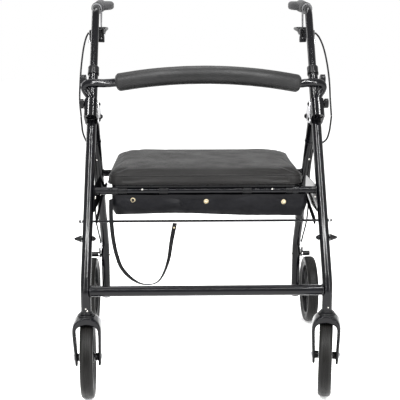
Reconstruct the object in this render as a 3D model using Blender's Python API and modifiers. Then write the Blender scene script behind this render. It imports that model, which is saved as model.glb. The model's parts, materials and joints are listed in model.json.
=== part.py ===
"""A heavy-duty four-wheeled rollator walker with a flip-up seat, in metres.

Front, with the casters, is -Y; the user walks behind, at +Y. The origin is on the floor
under the middle of the walker. Left is -X and right is +X.
"""

import math

import bmesh
import bpy
from mathutils import Matrix, Vector

# Frame
WHEELBASE = 0.563  # front swivel axis to rear axle
TRAIL = 0.027  # caster swivel axis to front axle
CASTER_TURN = {"left": math.radians(3.5), "right": math.radians(-10.5)}  # from straight behind
LEG_X = 0.2925  # front leg, from the middle
LEG_R = 0.0127
LEG_LEAN = math.radians(32.5)
LEG_FOOT_Z = 0.2242
LEG_BEND_Z = 0.2908
LEG_TOP_Z = 0.796
CROSS_TUBE_Z = 0.280
SEAT_TUBE_Z = 0.5005
SEAT_TUBE_R = 0.0095
ROD_Z = 0.432
ROD_R = 0.0032
BOLT_Z = 0.394
BRACKET_Z = 0.681
BRACKET_LENGTH = 0.050
BRACKET_HALF_X = 0.0168
GAP = 0.0003  # between neighbours that touch
RUNNING = 0.0004  # round a turning or sliding shaft

# Handles
HANDLE_R = 0.0105
GRIP_Z = 0.952  # where the grip axis meets the leg axis
GRIP_RISE = math.radians(5)
GRIP_START_Y = 0.166
GRIP_LENGTH = 0.127
HANDLE_INSERT_Z = 0.661
LEVER_PIVOT = (0.140, 0.882)  # y, z
HEIGHT_KNOB_Z = 0.762
HEIGHT_KNOB_X = 0.3105  # inner face

# Backrest
BAR_R = 0.011
SOCKET_AHEAD = 0.031  # socket axis in front of the leg axis
BACKREST_KNOB_Z = 0.694
BACKREST_KNOB_X = 0.3112  # inner face
PAD_LEFT_X = -0.2216
PAD_RIGHT_X = 0.2418
PAD_R = 0.0224

# Rear frame
PIVOT_BEHIND = 0.038
PIVOT_Z = 0.672
REAR_TOP_X = 0.2905
REAR_X = 0.2955
REAR_BEND_Z = 0.25
REAR_FOOT_Z = 0.080
REAR_WHEEL_X = 0.338
LINK_PIVOT_Z = 0.460
FRONT_LINK = 0.184
REAR_LINK = 0.153
PIVOT_PLATE_X = 0.2738
BRAKE_PIVOT_Z = 0.215
CABLE_GAP = 0.0012  # each side of the fold axis
SHOE = (0.022, 0.1095)  # y, z from the rear axle

# Wheels
WHEEL_R = 0.1016
WHEEL_STEPS = 32
RIM_R = 0.0815
TYRE_HALF = 0.0165
HUB_HALF = 0.0165
AXLE_R = 0.0040

# Seat
PAN_Z = 0.5103
PAN_T = 0.005
SEAT_FRONT_Y = -0.180
SEAT_BACK_Y = 0.165
SEAT_HALF_X = 0.2475
SEAT_TOP_Z = 0.550
POUCH_LOW = (-0.240, -0.168, 0.436)
POUCH_HIGH = (0.240, -0.005, 0.4855)
POUCH_WALL = 0.004

FRONT_Y = -(WHEELBASE + TRAIL) / 2
REAR_Y = FRONT_Y + WHEELBASE
AXLE_Z = WHEEL_R * math.cos(math.pi / WHEEL_STEPS)
UP = Vector((0, math.sin(LEG_LEAN), math.cos(LEG_LEAN)))  # along the leaning legs
AHEAD = Vector((0, -math.cos(LEG_LEAN), math.sin(LEG_LEAN)))
GRIP_WAY = Vector((0, math.cos(GRIP_RISE), math.sin(GRIP_RISE)))
SIDES = (("left", -1), ("right", 1))

for old in list(bpy.data.objects):
    bpy.data.objects.remove(old, do_unlink=True)
PARTS = bpy.data.collections.new("rollator_walker")
CUTTERS = bpy.data.collections.new("cutters")
for group in (PARTS, CUTTERS):
    bpy.context.scene.collection.children.link(group)


def finish(name, colour, roughness, metallic=0.0):
    made = bpy.data.materials.new(name)
    made.use_nodes = True
    shader = made.node_tree.nodes["Principled BSDF"]
    shader.inputs["Base Color"].default_value = (*colour, 1)
    shader.inputs["Roughness"].default_value = roughness
    shader.inputs["Metallic"].default_value = metallic
    return made


FRAME_BLACK = finish("frame_black", (0.012, 0.012, 0.014), 0.22)
PLASTIC = finish("black_plastic", (0.02, 0.02, 0.022), 0.5)
GRIP_GREY = finish("grip_grey", (0.11, 0.11, 0.12), 0.7)
ZINC = finish("zinc_steel", (0.55, 0.55, 0.56), 0.35, 1.0)
TYRE_BLACK = finish("tyre_black", (0.025, 0.025, 0.025), 0.75)
FOAM = finish("foam", (0.05, 0.05, 0.055), 0.9)
VINYL = finish("vinyl", (0.04, 0.04, 0.042), 0.45)
NYLON = finish("nylon", (0.025, 0.025, 0.027), 0.8)


# Placing and combining

def place(obj, matrix, material, cutter=False):
    """Puts an object in its collection; a cutter or a guide stays out of the part."""
    obj.matrix_world = matrix
    (CUTTERS if cutter else PARTS).objects.link(obj)
    if cutter:
        obj.hide_render = True
        obj.display_type = "WIRE"
    elif material:
        obj.data.materials.append(material)
    bpy.context.view_layer.update()
    return obj


def meshed(obj, cutter=False):
    """The same shape as a closed mesh, for a Boolean."""
    evaluated = obj.evaluated_get(bpy.context.evaluated_depsgraph_get())
    mesh = bpy.data.meshes.new_from_object(evaluated)
    shape = bmesh.new()
    shape.from_mesh(mesh)
    bmesh.ops.remove_doubles(shape, verts=shape.verts, dist=1e-6)
    bmesh.ops.recalc_face_normals(shape, faces=shape.faces)
    shape.to_mesh(mesh)
    shape.free()
    mesh.shade_smooth()
    mesh.set_sharp_from_angle(angle=math.radians(35))
    name, matrix = obj.name, obj.matrix_world.copy()
    bpy.data.objects.remove(obj, do_unlink=True)
    return place(bpy.data.objects.new(name, mesh), matrix, None, cutter)


def combine(target, operation, tools):
    for tool in tools:
        if tool.name in PARTS.objects:
            PARTS.objects.unlink(tool)
            CUTTERS.objects.link(tool)
        tool.hide_render = True
        tool.display_type = "WIRE"
        step = target.modifiers.new(tool.name, "BOOLEAN")
        step.operation = operation
        step.solver = "EXACT"
        step.object = tool
    return target


def cut(target, *tools):
    return combine(target, "DIFFERENCE", tools)


def join(target, *tools):
    return combine(target, "UNION", tools)


def hang(name, where, pieces):
    """An empty on a joint's axis, with the pieces that turn or slide about it under it."""
    empty = bpy.data.objects.new(name, None)
    empty.location = where
    empty.empty_display_size = 0.02
    PARTS.objects.link(empty)
    bpy.context.view_layer.update()
    for piece in pieces:
        obj = bpy.data.objects[piece]
        obj.parent = empty
        obj.matrix_parent_inverse = empty.matrix_world.inverted()


# Shapes

def along(origin, direction):
    """A frame at origin whose Z axis points along direction."""
    turn = Vector(direction).to_track_quat("Z", "Y").to_matrix().to_4x4()
    return Matrix.Translation(origin) @ turn


def facing_x(x):
    """A frame whose XY plane is the world's YZ plane at x, and whose Z axis is +X."""
    return Matrix(((0, 0, 1, x), (1, 0, 0, 0), (0, 1, 0, 0), (0, 0, 0, 1)))


def rod(name, start, end, radius, material=None, sides=12):
    """A plain cylinder between two points. With no material it is a cutter."""
    start, end = Vector(start), Vector(end)
    mesh = bpy.data.meshes.new(name)
    shape = bmesh.new()
    bmesh.ops.create_cone(
        shape, cap_ends=True, segments=sides, radius1=radius, radius2=radius,
        depth=(end - start).length,
    )
    shape.to_mesh(mesh)
    shape.free()
    mesh.shade_smooth()
    mesh.set_sharp_from_angle(angle=math.radians(35))
    middle = along((start + end) / 2, end - start)
    return place(bpy.data.objects.new(name, mesh), middle, material, material is None)


def box(name, low, high, material=None, matrix=None):
    mesh = bpy.data.meshes.new(name)
    shape = bmesh.new()
    bmesh.ops.create_cube(shape, size=1)
    low, high = Vector(low), Vector(high)
    sizing = Matrix.Translation((low + high) / 2) @ Matrix.Diagonal((*(high - low), 1))
    bmesh.ops.transform(shape, matrix=sizing, verts=shape.verts)
    shape.to_mesh(mesh)
    shape.free()
    matrix = matrix or Matrix.Identity(4)
    return place(bpy.data.objects.new(name, mesh), matrix, material, material is None)


def tube(name, points, radius, material=None, sides=16):
    """A round bar along a path of points, which is a curve object."""
    data = bpy.data.curves.new(name, "CURVE")
    data.dimensions = "3D"
    data.twist_mode = "MINIMUM"
    data.bevel_depth = radius
    data.bevel_resolution = (sides - 4) // 2
    data.use_fill_caps = True
    spline = data.splines.new("POLY")
    spline.points.add(len(points) - 1)
    for point, at in zip(spline.points, points):
        point.co = (*at, 1)
    made = bpy.data.objects.new(name, data)
    return place(made, Matrix.Identity(4), material, material is None)


def plate(name, outline, thickness, matrix, material=None, holes=()):
    """A flat outline with holes, centred on its frame's XY plane."""
    data = bpy.data.curves.new(name, "CURVE")
    data.dimensions = "2D"
    data.fill_mode = "BOTH"
    data.extrude = thickness / 2
    for ring in (outline, *holes):
        spline = data.splines.new("POLY")
        spline.points.add(len(ring) - 1)
        for point, (u, v) in zip(spline.points, ring):
            point.co = (u, v, 0, 1)
        spline.use_cyclic_u = True
    return place(bpy.data.objects.new(name, data), matrix, material, material is None)


def turned(name, profile, matrix, material=None, steps=16, ring=False):
    """A profile of (radius, height) turned about its frame's Z axis, from its top down."""
    mesh = bpy.data.meshes.new(name)
    count = len(profile)
    edges = [(i, (i + 1) % count) for i in range(count if ring else count - 1)]
    mesh.from_pydata([(r, 0, z) for r, z in profile], edges, [])
    made = bpy.data.objects.new(name, mesh)
    screw = made.modifiers.new("turned", "SCREW")
    screw.axis = "Z"
    screw.steps = screw.render_steps = steps
    screw.use_merge_vertices = True
    screw.merge_threshold = 1e-5
    screw.use_smooth_shade = True
    return place(made, matrix, material, material is None)


def circle(centre, radius, count=16, start=0.0):
    turns = (start + 2 * math.pi * i / count for i in range(count))
    return [(centre[0] + radius * math.cos(t), centre[1] + radius * math.sin(t)) for t in turns]


def hull(*rounds):
    """The convex outline round circles, each given as (u, v, radius)."""
    points = sorted(p for u, v, radius in rounds for p in circle((u, v), radius, 20))
    chains = []
    for ordered in (points, points[::-1]):
        chain = []
        for u, v in ordered:
            while len(chain) > 1:
                (a, b), (c, d) = chain[-2:]
                if (c - a) * (v - b) - (d - b) * (u - a) > 1e-12:
                    break
                chain.pop()
            chain.append((u, v))
        chains += chain[:-1]
    return chains


def rounded_box(low, high, radii, steps=4):
    """A rectangle with round corners, from the low-u low-v corner anticlockwise."""
    corners = ((low[0], low[1]), (high[0], low[1]), (high[0], high[1]), (low[0], high[1]))
    inward = ((1, 1), (-1, 1), (-1, -1), (1, -1))
    points = []
    for k, ((u, v), (du, dv), radius) in enumerate(zip(corners, inward, radii)):
        for i in range(steps + 1):
            t = math.pi + k * math.pi / 2 + i * math.pi / 2 / steps
            points.append((u + radius * (du + math.cos(t)), v + radius * (dv + math.sin(t))))
    return points


def rounded_path(points, radius, steps=5):
    """Straight runs with an arc at each corner."""
    points = [Vector(p) for p in points]
    path = [points[0]]
    for before, corner, after in zip(points, points[1:], points[2:]):
        a, b = (before - corner).normalized(), (after - corner).normalized()
        half = a.angle(b) / 2
        centre = corner + (a + b).normalized() * radius / math.sin(half)
        start = corner + a * radius / math.tan(half) - centre
        end = corner + b * radius / math.tan(half) - centre
        path += [centre + start.slerp(end, i / steps) * radius for i in range(steps + 1)]
    return path + [points[-1]]


def smooth_path(points, steps):
    """A smooth curve through the points, with a number of steps between each pair."""
    points = [Vector(p) for p in points]
    ends = [2 * points[0] - points[1], *points, 2 * points[-1] - points[-2]]
    path = []
    for p, q, r, s in zip(ends, ends[1:], ends[2:], ends[3:]):
        for i in range(steps):
            t = i / steps
            path.append(
                (2 * q + (r - p) * t + (2 * p - 5 * q + 4 * r - s) * t * t
                 + (3 * q - p - 3 * r + s) * t ** 3) / 2
            )
    return path + [points[-1]]


def leg_at(z, s):
    """A point on the axis of a front leg."""
    return Vector((s * LEG_X, FRONT_Y + max(0, z - LEG_BEND_Z) * math.tan(LEG_LEAN), z))


def pivot_at(x):
    """The fold axis, level with the top brackets and just behind the front legs."""
    return Vector((x, leg_at(PIVOT_Z, 1).y + PIVOT_BEHIND, PIVOT_Z))


def rear_leg_at(z, s):
    """A point on the axis of a rear leg, above its bend."""
    top, bend = pivot_at(s * REAR_TOP_X), Vector((s * REAR_X, REAR_Y, REAR_BEND_Z))
    return top.lerp(bend, (PIVOT_Z - z) / (PIVOT_Z - REAR_BEND_Z))


def hole_x(name, y, z, radius, near, far, sides=12):
    """A cutter along X."""
    return rod(name, (near, y, z), (far, y, z), radius, sides=sides)


# Front frame

def front_leg(side, s):
    path = rounded_path(
        [(s * LEG_X, FRONT_Y, LEG_FOOT_Z), leg_at(LEG_BEND_Z, s), leg_at(LEG_TOP_Z, s)], 0.08
    )
    leg = meshed(tube(f"front_leg_{side}", path, LEG_R, FRAME_BLACK))
    top, foot = leg_at(LEG_TOP_Z, s), Vector((s * LEG_X, FRONT_Y, LEG_FOOT_Z))
    knob, rod_y, bolt = leg_at(HEIGHT_KNOB_Z, s), leg_at(ROD_Z, s).y, leg_at(BOLT_Z, s)
    return cut(
        leg,
        rod(f"{side}_handle_bore", top - UP * 0.295, top + UP * 0.01, HANDLE_R + RUNNING, sides=16),
        rod(f"{side}_stem_bore", foot - Vector((0, 0, 0.01)), foot + Vector((0, 0, 0.037)), 0.0066),
        hole_x(f"{side}_rod_hole", rod_y, ROD_Z, ROD_R + RUNNING, s * 0.27, s * 0.32),
        hole_x(f"{side}_bolt_hole", bolt.y, bolt.z, 0.0034, s * 0.27, s * 0.32),
        hole_x(f"{side}_stud_hole", knob.y, knob.z, 0.0034, s * (LEG_X + 0.008), s * 0.32),
    )


def handle_collar(side, s):
    profile = [
        (0.0125, 0.0045), (0.0148, 0.002), (0.0148, -0.018), (0.0142, -0.020),
        (0.0131, -0.020), (0.0131, 0.0004), (0.0110, 0.0004), (0.0110, 0.0045),
    ]
    turned(f"handle_collar_{side}", profile, along(leg_at(LEG_TOP_Z, s), UP), PLASTIC, ring=True)


def star_knob(name, s, y, z, inner, outer, tip, radius, material=PLASTIC):
    """A lobed hand knob on a stud along X: inner and outer faces and stud tip, by x."""
    lobes = 3
    outline = [
        (y + radius * (1 + 0.14 * math.cos(lobes * t)) * math.cos(t),
         z + radius * (1 + 0.14 * math.cos(lobes * t)) * math.sin(t))
        for t in (2 * math.pi * i / 30 for i in range(30))
    ]
    middle = s * (inner + outer) / 2
    knob = meshed(plate(name, outline, outer - inner, facing_x(middle), material))
    neck = rod(f"{name}_neck", (s * (inner - 0.0015), y, z), (s * (inner + 0.004), y, z), 0.0065)
    stud = rod(f"{name}_stud", (s * tip, y, z), (s * (inner + 0.002), y, z), 0.0030)
    return join(knob, neck, stud)


def top_bracket(side, s):
    """Clamps the leg, and holds the backrest bar in a socket in front of it."""
    frame = Matrix.Translation(leg_at(BRACKET_Z, s)) @ Matrix(
        ((1, 0, 0, 0), (0, -AHEAD.y, UP.y, 0), (0, -AHEAD.z, UP.z, 0), (0, 0, 0, 1))
    )
    outline = rounded_box(
        (-BRACKET_HALF_X, -SOCKET_AHEAD - 0.0155), (BRACKET_HALF_X, BRACKET_HALF_X), (0.012,) * 4
    )
    holes = (circle((0, 0), LEG_R + GAP, 20), circle((0, -SOCKET_AHEAD), BAR_R + 0.0006, 20))
    bracket = meshed(
        plate(f"top_bracket_{side}", outline, BRACKET_LENGTH, frame, FRAME_BLACK, holes)
    )
    knob = leg_at(BACKREST_KNOB_Z, s) + AHEAD * SOCKET_AHEAD
    return cut(
        bracket,
        hole_x(f"{side}_clamp_hole", knob.y, knob.z, 0.0034, s * (LEG_X + 0.004), s * 0.32),
    )


def pivot_plate(side, s):
    """Bolted to the inner face of the bracket, with the pin that the rear leg folds on."""
    pivot = pivot_at(s * PIVOT_PLATE_X)
    upper = leg_at(0.697, s) + AHEAD * 0.020
    lower = leg_at(0.666, s) + AHEAD * 0.006
    outline = hull(
        (pivot.y, pivot.z, 0.013), (upper.y, upper.z, 0.010), (lower.y, lower.z, 0.010)
    )
    blank = meshed(
        plate(f"pivot_plate_{side}", outline, 0.003, facing_x(s * PIVOT_PLATE_X), ZINC)
    )
    pin = rod(
        f"{side}_pivot_pin", (s * 0.2700, pivot.y, pivot.z), (s * 0.2965, pivot.y, pivot.z), 0.004,
        sides=16,
    )
    return join(blank, pin)


def side_plate(side, s):
    """A plate beside the leg, round the seat tube, that stiffens the side of the frame."""
    tube_at = leg_at(SEAT_TUBE_Z, s)
    outline = hull(
        (-0.1955, 0.458, 0.005), (tube_at.y, tube_at.z, 0.0135), (-0.0125, 0.507, 0.006),
        (-0.006, 0.4575, 0.006),
    )
    hole = circle((tube_at.y, tube_at.z), SEAT_TUBE_R + GAP, 16)
    plate(f"side_plate_{side}", outline, 0.002, facing_x(s * 0.2783), FRAME_BLACK, (hole,))


def frame_bolt(side, s):
    """A bolt through the leg with a conical cap at each end."""
    at = leg_at(BOLT_Z, s)
    profile = [
        (0, 0.3250), (0.0018, 0.3244), (0.0085, 0.3070), (0.0030, 0.3070), (0.0030, 0.2792),
        (0.0070, 0.2792), (0.0022, 0.2708), (0, 0.2702),
    ]
    turned(f"frame_bolt_{side}", profile, along((0, at.y, at.z), (s, 0, 0)), PLASTIC, 12)


def cross_members():
    seat_y, reach = leg_at(SEAT_TUBE_Z, 1).y, LEG_X - LEG_R - GAP
    rod("front_cross_tube", (-reach, FRONT_Y, CROSS_TUBE_Z), (reach, FRONT_Y, CROSS_TUBE_Z),
        LEG_R, FRAME_BLACK, 20)
    rod("seat_front_tube", (-reach, seat_y, SEAT_TUBE_Z), (reach, seat_y, SEAT_TUBE_Z),
        SEAT_TUBE_R, FRAME_BLACK, 16)
    rod_y, end = leg_at(ROD_Z, 1).y, LEG_X + 0.020
    rod("cross_rod", (-end, rod_y, ROD_Z), (end, rod_y, ROD_Z), ROD_R, FRAME_BLACK, 12)


# Handles

def grip_at(distance, s):
    """A point on the grip's axis, a distance behind its sleeve's front end."""
    corner = leg_at(GRIP_Z, s)
    return corner + GRIP_WAY * ((GRIP_START_Y - corner.y) / GRIP_WAY.y + distance)


def handle(side, s):
    end = grip_at(GRIP_LENGTH - 0.006, s)
    path = rounded_path([leg_at(HANDLE_INSERT_Z, s), leg_at(GRIP_Z, s), end], 0.045)
    tube(f"handle_tube_{side}", path, HANDLE_R, FRAME_BLACK)
    grip(side, s)
    brake_clamp(side, s)
    brake_lever(side, s)


def grip(side, s):
    """A sleeve with a flange in front, a closed end, and a palm wing on its inner side."""
    bore, depth = HANDLE_R + GAP, GRIP_LENGTH - 0.0055
    profile = [
        (0, GRIP_LENGTH), (0.012, GRIP_LENGTH - 0.001), (0.0160, GRIP_LENGTH - 0.006),
        (0.0174, 0.095), (0.0165, 0.050), (0.0160, 0.008), (0.0165, 0.006), (0.0165, 0),
        (bore, 0), (bore, depth), (0, depth),
    ]
    start = grip_at(0, s)
    frame = along(start, GRIP_WAY)
    sleeve = turned(f"grip_{side}", profile, frame, GRIP_GREY, 16)
    inner, outer = LEG_X - 0.040, LEG_X - bore - 0.001
    rows = sorted((s * inner, s * outer))
    radii = (0.018, 0.002, 0.002, 0.024) if s > 0 else (0.002, 0.018, 0.024, 0.002)
    outline = rounded_box(
        (rows[0], 0.045), (rows[1], GRIP_LENGTH - 0.008), radii
    )
    level = Matrix.Translation((0, start.y, start.z + 0.004)) @ Matrix.Rotation(GRIP_RISE, 4, "X")
    wing = meshed(plate(f"{side}_palm_wing", outline, 0.014, level), cutter=True)
    return join(sleeve, wing)


def brake_clamp(side, s):
    """A ring on the handle with two cheeks that hang down to the lever's pin."""
    x, (pivot_y, pivot_z) = s * LEG_X, LEVER_PIVOT
    bore = HANDLE_R + GAP
    profile = [(0.0145, 0.012), (0.0145, 0), (bore, 0), (bore, 0.012)]
    frame = along(grip_at(-0.0135, s), GRIP_WAY)
    ring = turned(f"brake_clamp_{side}", profile, frame, PLASTIC, 20, ring=True)
    top = grip_at(-0.0075, s)
    outline = hull((top.y, top.z - 0.003, 0.0055), (pivot_y, pivot_z, 0.0075))
    cheeks = [
        meshed(plate(f"{side}_cheek_{i}", outline, 0.002, facing_x(x + d)), cutter=True)
        for i, d in enumerate((-0.0125, 0.0125))
    ]
    pin = rod(f"{side}_lever_pin", (x - 0.0205, pivot_y, pivot_z), (x + 0.0205, pivot_y, pivot_z), 0.003)
    return join(ring, *cheeks, pin)


def brake_lever(side, s):
    """A loop under the grip, with a block on each side of the clamp's cheeks."""
    x, (pivot_y, pivot_z) = s * LEG_X, LEVER_PIVOT
    arm = 0.0182
    corners = [
        (x + arm, pivot_y, pivot_z + 0.001), (x + arm, pivot_y + 0.045, 0.8945),
        (x + arm, 0.268, 0.9005), (x - arm, 0.268, 0.9005),
        (x - arm, pivot_y + 0.045, 0.8945), (x - arm, pivot_y, pivot_z + 0.001),
    ]
    lever = meshed(tube(f"brake_lever_{side}", rounded_path(corners, 0.012, 3), 0.0042, PLASTIC, 8))
    outline = rounded_box((pivot_y - 0.009, pivot_z - 0.018), (pivot_y + 0.010, pivot_z + 0.014),
                          (0.006,) * 4, 3)
    blocks = [
        meshed(plate(f"{side}_block_{i}", outline, 0.0063, facing_x(x + d)), cutter=True)
        for i, d in enumerate((-0.01735, 0.01735))
    ]
    join(lever, *blocks)
    return cut(lever, hole_x(f"{side}_lever_bore", pivot_y, pivot_z, 0.0034, x - 0.03, x + 0.03))


# Backrest

def backrest():
    socket = [leg_at(z, 1) + AHEAD * SOCKET_AHEAD for z in (0.662, 0.700)]
    shoulder = [
        (0.2965, -0.0530, 0.7290), (0.3040, -0.0500, 0.7395), (0.3085, -0.0500, 0.7505),
        (0.3030, -0.0545, 0.7605), (0.2860, -0.0600, 0.7632), (0.2600, -0.0640, 0.7624),
    ]
    arch = [
        (x, -0.105 + 0.038 * (x / 0.24) ** 2, 0.7864 - 0.0245 * (x / 0.24) ** 2)
        for x in (PAD_RIGHT_X + (PAD_LEFT_X - PAD_RIGHT_X) * i / 8 for i in range(9))
    ]
    arm = [Vector(p) for p in (*socket, *shoulder)]
    whole = arm + [Vector(p) for p in arch] + [Vector((-p.x, p.y, p.z)) for p in reversed(arm)]
    tube("backrest_tube", smooth_path(whole, 2), BAR_R, FRAME_BLACK, 12)
    inside = whole[len(arm) : -len(arm)]
    over = whole[len(arm) - 1 : 1 - len(arm)]
    pad = meshed(tube("backrest_pad", smooth_path(inside, 2), PAD_R, FOAM, 12))
    bore = meshed(tube("backrest_bore", smooth_path(over, 2), BAR_R + 0.0006, None, 12), cutter=True)
    return cut(pad, bore)


# Rear frame

def rear_leg(side, s):
    down = (rear_leg_at(REAR_BEND_Z, s) - rear_leg_at(PIVOT_Z, s)).normalized()
    pivot = rear_leg_at(PIVOT_Z, s)
    foot = (s * REAR_X, REAR_Y, REAR_FOOT_Z)
    path = rounded_path([pivot - down * 0.007, rear_leg_at(REAR_BEND_Z, s), foot], 0.06)
    leg = meshed(tube(f"rear_leg_{side}", path, LEG_R, FRAME_BLACK))
    link = rear_leg_at(LINK_PIVOT_Z, s)
    return cut(
        leg,
        hole_x(f"{side}_pivot_hole", pivot.y, pivot.z, 0.0044, s * 0.25, s * 0.2985, 16),
        hole_x(f"{side}_link_hole", link.y, link.z, 0.0039, s * 0.26, s * 0.2865),
        hole_x(f"{side}_axle_hole", REAR_Y, AXLE_Z, AXLE_R + RUNNING, s * 0.27, s * 0.32),
        hole_x(f"{side}_brake_hole", REAR_Y, BRAKE_PIVOT_Z, 0.0039, s * 0.2925, s * 0.32),
    )


def rear_cross_tube():
    at = rear_leg_at(SEAT_TUBE_Z, 1)
    reach = at.x - LEG_R - 0.0008
    rod("rear_cross_tube", (-reach, at.y, at.z), (reach, at.y, at.z), SEAT_TUBE_R, FRAME_BLACK, 16)


def knee():
    """Where the two links meet, above the line between their outer pivots, by y and z."""
    near, far = leg_at(ROD_Z, 1), rear_leg_at(LINK_PIVOT_Z, 1)
    dy, dz = far.y - near.y, far.z - near.z
    span = math.hypot(dy, dz)
    lift = math.acos((FRONT_LINK ** 2 + span ** 2 - REAR_LINK ** 2) / (2 * FRONT_LINK * span))
    turn = math.atan2(dz, dy) + lift
    return near.y + FRONT_LINK * math.cos(turn), near.z + FRONT_LINK * math.sin(turn)


def links(side, s):
    near, far, (knee_y, knee_z) = leg_at(ROD_Z, s), rear_leg_at(LINK_PIVOT_Z, s), knee()
    outline = hull((near.y, near.z, 0.0095), (knee_y, knee_z, 0.008))
    plate(
        f"front_link_{side}", outline, 0.0025, facing_x(s * 0.27125), FRAME_BLACK,
        (circle((near.y, near.z), ROD_R + RUNNING, 12),),
    )
    outline = hull((far.y, far.z, 0.0085), (knee_y, knee_z, 0.008))
    rear = meshed(plate(f"rear_link_{side}", outline, 0.0025, facing_x(s * 0.27475), FRAME_BLACK))
    pin = rod(f"{side}_link_pin", (s * 0.2740, far.y, far.z), (s * 0.2855, far.y, far.z), 0.0035)
    join(rear, pin)


def brake_arm(side, s):
    """A plate that turns on the rear leg, with a shoe bar across the top of the tyre."""
    shoe_y, shoe_z = REAR_Y + SHOE[0], AXLE_Z + SHOE[1]
    outline = hull(
        (REAR_Y, BRAKE_PIVOT_Z, 0.009), (shoe_y, shoe_z, 0.007), (REAR_Y - 0.022, 0.238, 0.005)
    )
    arm = meshed(plate(f"brake_arm_{side}", outline, 0.003, facing_x(s * 0.3111), PLASTIC))
    shoe = rod(f"{side}_shoe", (s * 0.3100, shoe_y, shoe_z), (s * 0.3410, shoe_y, shoe_z), 0.0075)
    pin = rod(
        f"{side}_brake_pin", (s * 0.2935, REAR_Y, BRAKE_PIVOT_Z),
        (s * 0.3110, REAR_Y, BRAKE_PIVOT_Z), 0.0035,
    )
    join(arm, shoe, pin)


# Wheels

def wheel(name, side, x, y):
    turn = along((x, y, AXLE_Z), (1, 0, 0)) @ Matrix.Rotation(math.pi / WHEEL_STEPS, 4, "Z")
    w, r = TYRE_HALF, WHEEL_R
    edge = [(RIM_R + GAP, w - 0.004), (0.093, w), (r, w - 0.0075)]
    profile = edge + [(radius, -height) for radius, height in reversed(edge)]
    turned(f"{name}_tyre_{side}", profile, turn, TYRE_BLACK, WHEEL_STEPS, ring=True)
    spokes = 5
    holes = []
    for k in range(spokes):
        middle = 2 * math.pi * k / spokes
        spread = [-0.44 + 0.88 * i / 4 for i in range(5)]
        outer = [(0.067 * math.cos(middle + t), 0.067 * math.sin(middle + t)) for t in spread]
        inner = [
            (0.030 * math.cos(middle + t * 0.7), 0.030 * math.sin(middle + t * 0.7))
            for t in reversed(spread[::2])
        ]
        holes.append(outer + inner)
    web = meshed(
        plate(f"{name}_rim_{side}", circle((0, 0), 0.080, 16), 0.010, turn, PLASTIC, holes)
    )
    band_profile = [(RIM_R, 0.0115), (RIM_R, -0.0115), (0.0735, -0.0115), (0.0735, 0.0115)]
    band = turned(f"{name}_{side}_band", band_profile, turn, None, WHEEL_STEPS, ring=True)
    hub_profile = [(0, HUB_HALF), (0.013, HUB_HALF), (0.0165, 0.004), (0.0165, -0.004),
                   (0.013, -HUB_HALF), (0, -HUB_HALF)]
    hub = turned(f"{name}_{side}_hub", hub_profile, turn, None, 16)
    join(web, band, hub)
    cut(web, hole_x(f"{name}_{side}_bore", y, AXLE_Z, AXLE_R + RUNNING, x - 0.03, x + 0.03, 16))


def axle_bolt(name, x, y, s, head, grip_end, nut_end):
    """A bolt along X from its head to its nut, by distance from x outwards."""
    profile = [
        (0, nut_end), (0.006, nut_end), (0.0075, nut_end - 0.002), (0.0075, grip_end),
        (AXLE_R, grip_end), (AXLE_R, head + 0.0038), (0.0070, head + 0.0038), (0.0070, head),
        (0, head),
    ]
    turned(name, profile, along((x, y, AXLE_Z), (s, 0, 0)), ZINC, 12)


def caster(side, s):
    """An arched fork on a stem that turns in the foot of the front leg, with its wheel."""
    before = set(bpy.data.objects)
    half = [
        (0.0215, 0.2220), (0.0225, 0.2165), (0.0340, 0.1960), (0.0362, 0.1850), (0.0355, 0.1600),
        (0.0322, 0.0800), (0.0255, 0.0800), (0.0298, 0.1600), (0.0305, 0.1800), (0.0275, 0.1950),
        (0.0190, 0.2065),
    ]
    arch = half + [(-x, z) for x, z in reversed(half)]
    front = Matrix(((1, 0, 0, s * LEG_X), (0, 0, -1, FRONT_Y + 0.01), (0, 1, 0, 0), (0, 0, 0, 1)))
    fork = meshed(plate(f"caster_fork_{side}", arch, 0.14, front, FRAME_BLACK))
    outline = hull(
        (FRONT_Y + TRAIL, AXLE_Z - 0.006, 0.0145), (FRONT_Y - 0.021, 0.217, 0.006),
        (FRONT_Y + 0.026, 0.217, 0.006), (FRONT_Y + 0.041, 0.180, 0.006),
        (FRONT_Y - 0.018, 0.185, 0.006),
    )
    side_view = meshed(plate(f"{side}_fork_side", outline, 0.12, facing_x(s * LEG_X)), cutter=True)
    combine(fork, "INTERSECT", [side_view])
    join(fork, rod(f"{side}_stem", (s * LEG_X, FRONT_Y, 0.213), (s * LEG_X, FRONT_Y, 0.2590), 0.006))
    cut(fork, hole_x(f"{side}_fork_hole", FRONT_Y + TRAIL, AXLE_Z, AXLE_R + RUNNING,
                     s * LEG_X - 0.05, s * LEG_X + 0.05))
    wheel("front", side, s * LEG_X, FRONT_Y + TRAIL)
    axle_bolt(f"front_axle_{side}", s * LEG_X, FRONT_Y + TRAIL, s, -0.0372, 0.0334, 0.0392)
    swivel = Matrix.Translation((s * LEG_X, FRONT_Y, 0))
    turn = swivel @ Matrix.Rotation(CASTER_TURN[side], 4, "Z") @ swivel.inverted()
    for obj in set(bpy.data.objects) - before:
        obj.matrix_world = turn @ obj.matrix_world
    bpy.context.view_layer.update()
    return turn @ Vector((s * LEG_X, FRONT_Y + TRAIL, AXLE_Z))


# Seat, pouch and strap

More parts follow.
